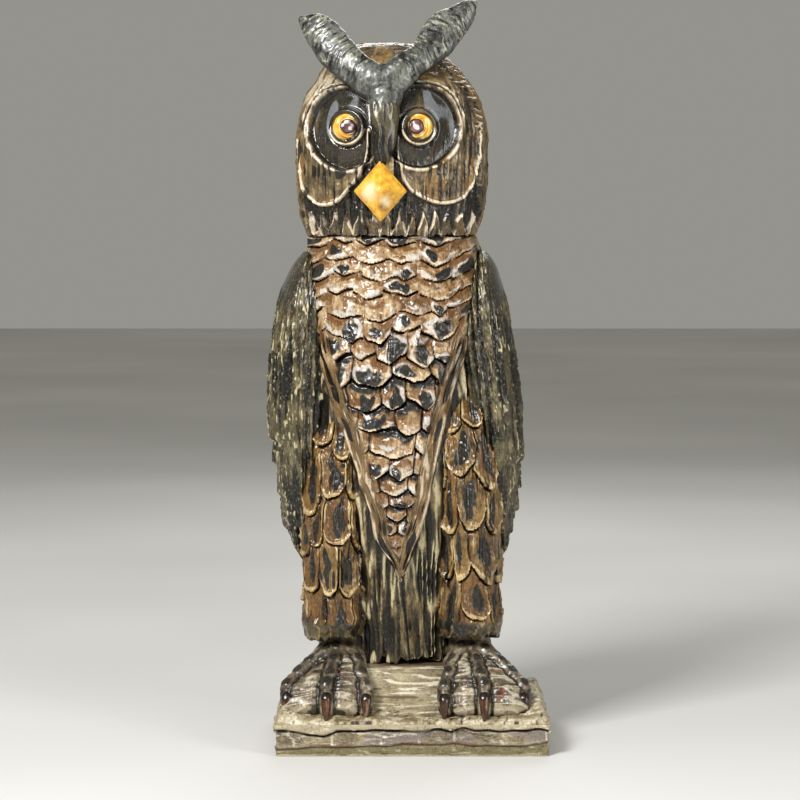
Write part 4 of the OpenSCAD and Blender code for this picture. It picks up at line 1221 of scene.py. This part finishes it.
def carve_foot(which, side_sign, seed):
    node = "foot_" + which
    low, high = box_of(node)[:2]
    foot_x = (box_of("foot_left")[2][0] + box_of("foot_right")[2][0]) / 2
    ankle_x = foot_x + side_sign * 42
    parts = [limb("shank", [
        (ankle_x, -13, high[2] + 3, 13, 12), (ankle_x, -13, 62, 14.5, 14), (ankle_x, -15, 48, 16, 16),
        (ankle_x, -17, 31, 18, 18),
    ], 48, 48, cap=0.08)]
    toe_lines = []
    for i, (out, toe_y, toe_z) in enumerate(TOES):
        end_x = foot_x + side_sign * out
        knee_x = (ankle_x + end_x) / 2 + side_sign * (i - 1) * 3
        line = [
            (ankle_x + (knee_x - ankle_x) * 0.3, -20, 63, 6, 6), ((ankle_x + knee_x) / 2, -28, 58, 6, 6.2),
            (knee_x, (-12 + toe_y) / 2 - 4, 51.5, 5.8, 6.2),
            ((knee_x + end_x) / 2, toe_y + 7, 45.5, 5.8, 6.2),
            (end_x, toe_y, toe_z + 4.4, 5.8, 6.2), (end_x, toe_y - 3.5, toe_z, 5, 5),
        ]
        toe_lines.append(line)
        parts.append(limb(f"toe_{i}", line, 40, 56, cap=0.09, facing=(0, 0, 1)))
    web_x = foot_x + side_sign * 50.5
    parts.append(limb("web", [
        (ankle_x, -15, 60, 15, 13), (ankle_x + side_sign * 2, -24, 54, 20, 12.5),
        (ankle_x + side_sign * 6, -34, 47, 25.5, 12),
        (web_x, -43, 40.5, 29.5, 11), (web_x, -50, 34, 30.5, 9.5), (web_x, -54.5, 29, 30, 7.5),
    ], 72, 48, cap=0.08, facing=(0, 0, 1)))
    piece = join_skin(node + "_skin", parts, 0.8, 5)
    p = points_of(piece)
    p[:, 2] = np.maximum(p[:, 2], low[2] - 1)
    put_points(piece, p)
    nearest = np.full(len(p), 1e9)
    along = np.zeros(len(p))
    for line in toe_lines:
        spine = np.array(line)[:, :3]
        run = 0
        for a, b in zip(spine[:-1], spine[1:]):
            d = b - a
            size = np.linalg.norm(d)
            t = np.clip((p - a) @ d / size ** 2, 0, 1)
            far = np.linalg.norm((p - a - t[:, None] * d) * (1, 1, 0.35), axis=1)
            closer = far < nearest
            nearest = np.where(closer, far, nearest)
            along = np.where(closer, run + t * size, along)
            run += size
    end = along / run
    toe = ease(5.0, 3.0, nearest) * ease(0.03, 0.2, end)
    crease = np.exp(-((np.abs((along / 6.4 + 0.2 * grain(p, 5, seed)) % 1 - 0.5) - 0.5) / 0.10) ** 2) * toe
    folds = gouges(np.stack([p[:, 0] * 0.35, p[:, 1] + p[:, 2] * 0.8, p[:, 0] * 0], 1), (5, 3.2, 1),
                   seed + 1)
    sheets = gouges(np.stack([p[:, 0], p[:, 1] * 0.3, p[:, 2] * 0.3], 1), (4.5, 9, 12), seed + 2)
    web = (1 - ease(6.5, 4.0, nearest)) * ease(66, 58, p[:, 2])
    groove = np.exp(-((nearest - 6.0) / 1.0) ** 2) * ease(0.1, 0.3, end)
    depth = (0.9 * toe - 0.4 * crease - 1.3 * groove + web * (0.9 * folds ** 2 + 0.7 * sheets - 1.2)
             + 0.30 * grain(p, 2.2, seed + 3) + 0.5 * grain(p, 6, seed + 4))
    carve(piece, depth)
    mark(
        piece,
        polish=np.maximum(toe,
                          ease(55, 68, p[:, 2]) * 0.5 * ease(-0.1, 0.5, grain(p, (5, 9, 14), seed + 5)))
                          * (0.85 + 0.3 * grain(p, 5, seed + 6)),
        worn=np.maximum(web * ease(0.7, 0.95, folds) * 0.8,
                        toe * 0.35 * ease(0.4, 0.8, grain(p, 3, seed + 7))),
        deep=np.maximum(np.maximum(groove, crease * 0.3), web * ease(0.5, 0.2, folds) * 0.7),
        scorch=ease(0.0, 0.6, grain(p, 9, seed + 8)) * 0.6,
        clay=ease(36, 29, p[:, 2] + 3 * grain(p, 4, seed + 9)) * (1 - toe),
        rust=(np.exp(-((p[:, 0] - 61) / 3) ** 2 - ((p[:, 2] - 40) / 4) ** 2) if side_sign > 0 else 0
              * nearest)
        + 0.5 * ease(0.35, 0.7, grain(p, 4, seed + 10)),
    )
    return done(piece, node, foot_wood)


foot_wood = wood("foot_wood", (70, 61, 48), (112, 101, 82), (156, 144, 120), [
    ("scorch", (66, 58, 46), 0.7), ("clay", (166, 154, 126), 0.75), ("rust", (128, 62, 32), 0.6),
    ("worn", (192, 182, 164), 0.7), ("polish", (38, 37, 38), 0.9), ("deep", (24, 18, 13), 0.9),
], gloss=(0.26, 0.55), coat=0.35, along=3, speck=0.2)
carve_foot("left", -1, 200)
carve_foot("right", 1, 220)

# %% Claws
claw_wood = wood("claw_wood", (40, 22, 14), (72, 42, 26), (104, 68, 44), [
    ("worn", (158, 132, 104), 0.5), ("deep", (22, 12, 8), 0.8),
], gloss=(0.16, 0.36), coat=0.55, speck=0.05)
for which in ("left", "right"):
    for toe_name in ("inner", "middle", "outer"):
        node = f"claw_{which}_{toe_name}"
        low, high, middle = box_of(node)
        root_y, x = high[1] - 4, middle[0]
        claw = limb(node + "_hook", [
            (x, root_y + 1.5, high[2] - 1, 3.2, 3.0), (x, root_y - 2.4, high[2] - 2.6, 3.6, 3.4),
            (x, low[1] + 1.6, high[2] - 7.5, 3.0, 3.0),
            (x, low[1] + 0.4, low[2] + 3.5, 2.1, 2.1), (x, low[1] + 0.8, low[2] - 1.5, 0.8, 0.8),
        ], 28, 44, cap=0.1)
        p = points_of(claw)
        carve(claw, 0.22 * grain(p, (2.2, 2.2, 7), 230) + 0.1 * grain(p, 1.2, 231))
        mark(claw, worn=ease(0.2, 0.7, grain(p, (1.6, 1.6, 8), 232)) * 0.7,
             deep=ease(high[2] - 4.5, high[2] - 2, p[:, 2]))
        done(claw, node, claw_wood)

# %% [markdown]
# ## Ground, stump and slab
# The ground is bare wood, chopped with a broad chisel and hardly stained; the stump between the
# feet is the part of the log that was left standing, with saw lines across it; the slab under
# them is hewn on its sides. Each starts as a cube that is cut into fine squares by subdividing
# its edges one direction at a time, because its flat faces need even squares.

# %% A block of fine squares
def block(name, low, high, steps):
    clear_selection()
    bpy.ops.mesh.primitive_cube_add(size=1, location=(0, 0, 0))
    piece = bpy.context.object
    piece.name = piece.data.name = name
    low, high = np.array(low, float), np.array(high, float)
    unit = points_of(piece) * MM
    put_points(piece, low + (unit + 0.5) * (high - low))
    for axis in range(3):
        cuts = int(round((high[axis] - low[axis]) / steps[axis])) - 1
        bpy.ops.object.mode_set(mode="EDIT")
        bpy.ops.mesh.select_mode(type="EDGE")
        bpy.ops.mesh.select_all(action="DESELECT")
        bpy.ops.object.mode_set(mode="OBJECT")
        ends = np.empty(len(piece.data.edges) * 2, np.int32)
        piece.data.edges.foreach_get("vertices", ends)
        p = points_of(piece)
        ends = ends.reshape(-1, 2)
        run = np.abs(p[ends[:, 0]] - p[ends[:, 1]])
        piece.data.edges.foreach_set("select", run[:, axis] > 0.5 * (high[axis] - low[axis]))
        bpy.ops.object.mode_set(mode="EDIT")
        bpy.ops.mesh.subdivide(number_cuts=cuts)
        bpy.ops.object.mode_set(mode="OBJECT")
    return piece


def round_edges(p, low, high, r):
    """Softens the corners of a block by pulling points onto rounded edges."""
    core = np.clip(p, np.array(low) + r, np.array(high) - r)
    d = p - core
    size = np.linalg.norm(d, axis=1)
    size[size == 0] = 1
    return core + d / size[:, None] * np.minimum(r, np.abs(d).max(axis=1))[:, None]


# %% Slab
def carve_slab():
    low, high, middle = box_of("base_slab")
    piece = block("base_slab_hewn", low, high, (1.15, 1.15, 0.8))
    p = round_edges(points_of(piece), low, high, 1.6)
    put_points(piece, p)
    n = normals_of(piece)
    sides = ease(0.75, 0.35, np.abs(n[:, 2]))
    flank = np.abs(n[:, 0]) > np.abs(n[:, 1])
    along = np.where(flank, p[:, 1] + 300 * np.sign(n[:, 0]), p[:, 0] + 900 * np.sign(n[:, 1]))
    z = p[:, 2]
    run = np.stack([along, along * 0, z], 1)
    split = (10.5 + 0.03 * (p[:, 0] - middle[0]) + 1.8 * grain(run, (38, 1, 99), 301)
             + 0.8 * grain(run, (11, 1, 99), 302))
    split -= 3.2
    above = ease(split - 0.4, split + 0.4, z)
    brink = 16.2 + 2.6 * grain(run, (24, 1, 99), 311) + 1.4 * grain(run, (8, 1, 99), 312)
    cap = ease(brink - 0.5, brink + 0.5, z)
    wide, wide_edge = facets(along / 27, (z - split) / 20 + 0.5, 303, 0.7)
    rough, rough_edge = facets(along / 11, z / 6.5, 304, 0.9)
    depth = (above * (2.6 * wide - 0.6)
             + (1 - above) * (1.8 * rough - 0.2 + 0.5 * grain(run, (2.4, 1, 1.6), 305)))
    depth += 0.9 * np.exp(-((z - split) / 0.8) ** 2)
    depth = depth * (1 - cap) + cap * (1.5 + 2.0 * facets(along / 13, z / 7, 313, 0.9)[0])
    depth -= 1.6 * np.exp(-((z - brink + 0.7) / 0.6) ** 2)
    depth += 0.22 * grain(run, (6, 1, 1.1), 306) - 0.9 * np.exp(-(wide_edge / 0.035) ** 2) * above
    depth *= sides
    depth -= sides * 1.0
    carve(piece, depth)
    p2 = points_of(piece)
    p2[:, 2] = np.clip(p2[:, 2], low[2], high[2])
    put_points(piece, p2)
    mark(
        piece,
        lilac=above * (1 - cap) * sides * ease(-0.5, 0.1, grain(run, (18, 1, 30), 307)),
        clay=np.maximum(cap * (0.85 + 0.3 * grain(run, (6, 1, 3), 314)), 1 - sides),
        olive=(1 - above) * sides,
        rust=sides * np.maximum(np.exp(-((z - split) / 0.7) ** 2)
                                * ease(-0.5, 0.2, grain(run, (16, 1, 99), 308)),
                                0.6 * np.exp(-(rough_edge / 0.05) ** 2) * (1 - above)),
        worn=sides * np.maximum(np.exp(-((wide_edge - 0.03) / 0.03) ** 2) * above * 0.8,
                                ease(0.3, 0.7, grain(run, (5, 1, 0.9), 309)) * 0.5),
        deep=sides * np.maximum(np.exp(-((z - brink + 0.8) / 0.8) ** 2)
                                * ease(-0.9, -0.3, grain(run, (12, 1, 99), 310)),
                                np.exp(-((z - split + 1.1) / 0.7) ** 2) * 0.8),
    )
    return piece


slab_wood = wood("slab_wood", (78, 68, 50), (128, 116, 92), (176, 164, 136), [
    ("lilac", (128, 118, 112), 0.8), ("olive", (120, 112, 78), 0.7), ("clay", (180, 168, 140), 0.85),
    ("rust", (116, 70, 38), 0.8),
    ("worn", (208, 200, 180), 0.7), ("deep", (34, 26, 18), 0.95),
], gloss=(0.3, 0.55), coat=0.3, along=0.2, speck=0.2)
done(carve_slab(), "base_slab", slab_wood)


# %% Ground
GROUND_LINE = [(-0.5, 11), (-0.46, 13), (-0.41, 11), (-0.3, 8.5), (-0.16, 7), (0, 5.5), (0.14, 6.5),
               (0.28, 8.5), (0.4, 11), (0.46, 12), (0.5, 10)]


def carve_ground():
    low, high, middle = box_of("ground_block")
    top = low[2] + 4
    piece = block("ground_chopped", (low[0], low[1], low[2] - 0.5), (high[0], high[1], top),
                  (1.1, 1.1, 1.0))
    p = points_of(piece)
    upper = (p[:, 2] - low[2] + 0.5) / (top - low[2] + 0.5)
    x, y = p[:, 0], p[:, 1]
    across = (x - middle[0]) / (high[0] - low[0])
    crest = through(across, *np.array(GROUND_LINE).T)
    front = y - low[1]
    rim_in = np.minimum(x - low[0], high[0] - x)
    slope = 0.30 + 0.70 * ease(0, 17, front + 3 * grain(p, (14, 99, 99), 321))
    back_fall = ease(0, 26, high[1] - y)
    height = 2 + (crest - 2) * slope * (0.35 + 0.65 * back_fall)
    pan = 0.6 + 0.4 * ease(16, 2, rim_in)
    height *= pan
    cuts, border = facets(x / 17 + 0.15 * y / 17, y / 10 - 0.2 * x / 10, 322, 0.9)
    small, small_border = facets(x / 7, y / 5 + 0.3 * x / 7, 323, 0.9)
    height += 3.4 * cuts + 1.5 * small + 0.5 * grain(p, (3.5, 1.2, 9), 324)
    height = np.maximum(height, 0.9)
    edge = ease(0, 2.5, np.minimum(np.minimum(front, high[1] - y), rim_in))
    height = height * (0.35 + 0.65 * edge)
    wave = 0.8 * grain(p, (16, 16, 99), 325)
    z = (low[2] - 0.5) * (1 - upper) + upper * (low[2] + height + wave * edge)
    tuck = -1.6 + 1.0 * upper + 0.6 * grain(np.stack([x + y, z * 0, z * 0], 1), (9, 1, 1), 326)
    p[:, 0] += np.where(rim_in < 0.1, -np.sign(x - middle[0]) * tuck, 0)
    p[:, 1] += np.where(np.minimum(front, high[1] - y) < 0.1, -np.sign(y - middle[1]) * tuck, 0)
    p[:, 2] = z
    put_points(piece, p)
    line = ease(0.10, 0.02, border)
    mark(
        piece,
        worn=np.maximum(0.5 * line, ease(0.2, 0.7, grain(p, (7, 2, 3), 327)) * 0.7),
        deep=0.8 * ease(0.18, 0.04, small_border) * ease(-0.4, 0.3, grain(p, 9, 328)),
        stain=ease(0.0, 0.6, grain(p, (16, 10, 9), 329)),
    )
    return piece


ground_wood = wood("ground_wood", (100, 86, 62), (164, 151, 122), (212, 203, 178), [
    ("stain", (122, 107, 80), 0.7), ("worn", (224, 217, 197), 0.7), ("deep", (46, 34, 24), 0.95),
], gloss=(0.45, 0.68), coat=0.1, along=1, speck=0.1)
done(carve_ground(), "ground_block", ground_wood)


# %% Stump between the feet
def carve_stump():
    low, high, middle = box_of("support_block")
    piece = block("stump_sawn", low, high, (0.9, 1.4, 0.6))
    p = points_of(piece)
    level = (p[:, 2] - low[2]) / (high[2] - low[2])
    front = ease(middle[1], low[1], p[:, 1])
    reach = np.interp(level, [0, 0.15, 0.45, 0.75, 1], [0, 2.5, 13, 21, 25])
    p[:, 1] = p[:, 1] + front * reach
    spread = np.interp(level, [0, 0.4, 0.8, 1], [1.08, 1.12, 1.2, 1.22])
    p[:, 0] = middle[0] + 3 + (p[:, 0] - middle[0]) * spread
    put_points(piece, p)
    saw = gouges(p, (26, 99, 1.5), 341)
    broad = facets(p[:, 0] / 20, p[:, 2] / 8 + 0.3, 342, 0.8)[0]
    hollow = ease(0, 1, 1 - ((p[:, 0] - middle[0]) / 22) ** 2) * ease(0.05, 0.3, level)
    depth = 0.9 * saw ** 2 + 1.8 * broad - 1.0 * hollow + 0.2 * grain(p, (2, 2, 1), 343) - 0.8
    depth *= ease(-0.2, 0.3, -normals_of(piece)[:, 1])
    carve(piece, depth)
    mark(piece, worn=ease(0.78, 0.95, saw) * 0.8,
         deep=np.maximum(ease(0.6, 0.3, saw) * 0.8, ease(0.9, 1.0, level) * 0.7),
         stain=ease(0.1, 0.6, grain(p, (14, 9, 7), 344)))
    return piece


raw_wood = wood("raw_wood", (116, 102, 76), (160, 148, 118), (196, 188, 160), [
    ("stain", (120, 104, 78), 0.5), ("worn", (228, 222, 202), 0.7), ("deep", (92, 74, 52), 0.8),
], gloss=(0.45, 0.68), coat=0.08, along=0.15, speck=0.1)
done(carve_stump(), "support_block", raw_wood)

# %% [markdown]
# ## Dowels
# The pegs and dowels hide inside the joints. Their CAD solids already have the right shape, so
# they stay and only get a plain turned beech.

# %% Dowels
dowel_wood = wood("dowel_wood", (170, 132, 86), (206, 172, 124), (228, 202, 160), [], gloss=(0.5, 0.7),
                  coat=0.0, speck=0.05)
kept = [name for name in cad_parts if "dowel" in name or "peg" in name]
for name in kept:
    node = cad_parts[name]
    node.data.materials.clear()
    node.data.materials.append(dowel_wood)
print("kept as they are:", ", ".join(sorted(kept)))


# %% [markdown]
# ## Floor, light and camera
# The owl stands on a plain pale floor. A carving shows its cuts only when the light comes from
# one side, so a strong soft box stands high on the left, a weak one on the right opens the
# shadows, and one behind draws the edge of the head. The camera looks down a little from in front.

# %% Floor and light
clear_selection()
bpy.ops.mesh.primitive_plane_add(size=12, location=(0, 0, 0))
floor = bpy.context.object
floor.name = "floor"
paint = Recipe("pale_floor")
paint.link(paint.ramp(paint.noise(1.2, detail=2), [(0.3, srgb(206, 205, 202)), (0.7, srgb(222, 221, 218))]),
           paint.shader.inputs["Base Color"])
paint.shader.inputs["Roughness"].default_value = 0.8
floor.data.materials.append(paint.material)

world = bpy.data.worlds.new("studio")
bpy.context.scene.world = world
world.use_nodes = True
backdrop = world.node_tree.nodes["Background"]
backdrop.inputs["Color"].default_value = (0.62, 0.61, 0.56, 1)
backdrop.inputs["Strength"].default_value = 0.45


def soft_box(name, place, target, size, power):
    clear_selection()
    bpy.ops.object.light_add(type="AREA", location=place)
    lamp = bpy.context.object
    lamp.name = name
    lamp.data.shape = "RECTANGLE"
    lamp.data.size, lamp.data.size_y = size
    lamp.data.energy = power
    lamp.rotation_euler = (Vector(target) - Vector(place)).to_track_quat("-Z", "Y").to_euler()


soft_box("key", (-0.75, -1.2, 1.25), (0, 0, 0.28), (0.5, 0.5), 30)
soft_box("fill", (1.2, -1.1, 0.6), (0, 0, 0.25), (0.5, 0.9), 9)
soft_box("back", (0.2, 1.4, 1.2), (0, 0, 0.3), (1.0, 0.6), 6)

# %% Camera
clear_selection()
eye = Vector((-0.0042, -1.85, 0.353))
bpy.ops.object.camera_add(location=eye)
camera = bpy.context.object
camera.name = "camera"
camera.data.sensor_width = 36
camera.data.lens = 127.6
camera.rotation_euler = (Vector((eye.x, 0, 0.223)) - eye).to_track_quat("-Z", "Y").to_euler()
bpy.context.scene.camera = camera
bpy.context.scene.view_settings.view_transform = "Standard"
bpy.context.scene.view_settings.look = "Medium High Contrast"
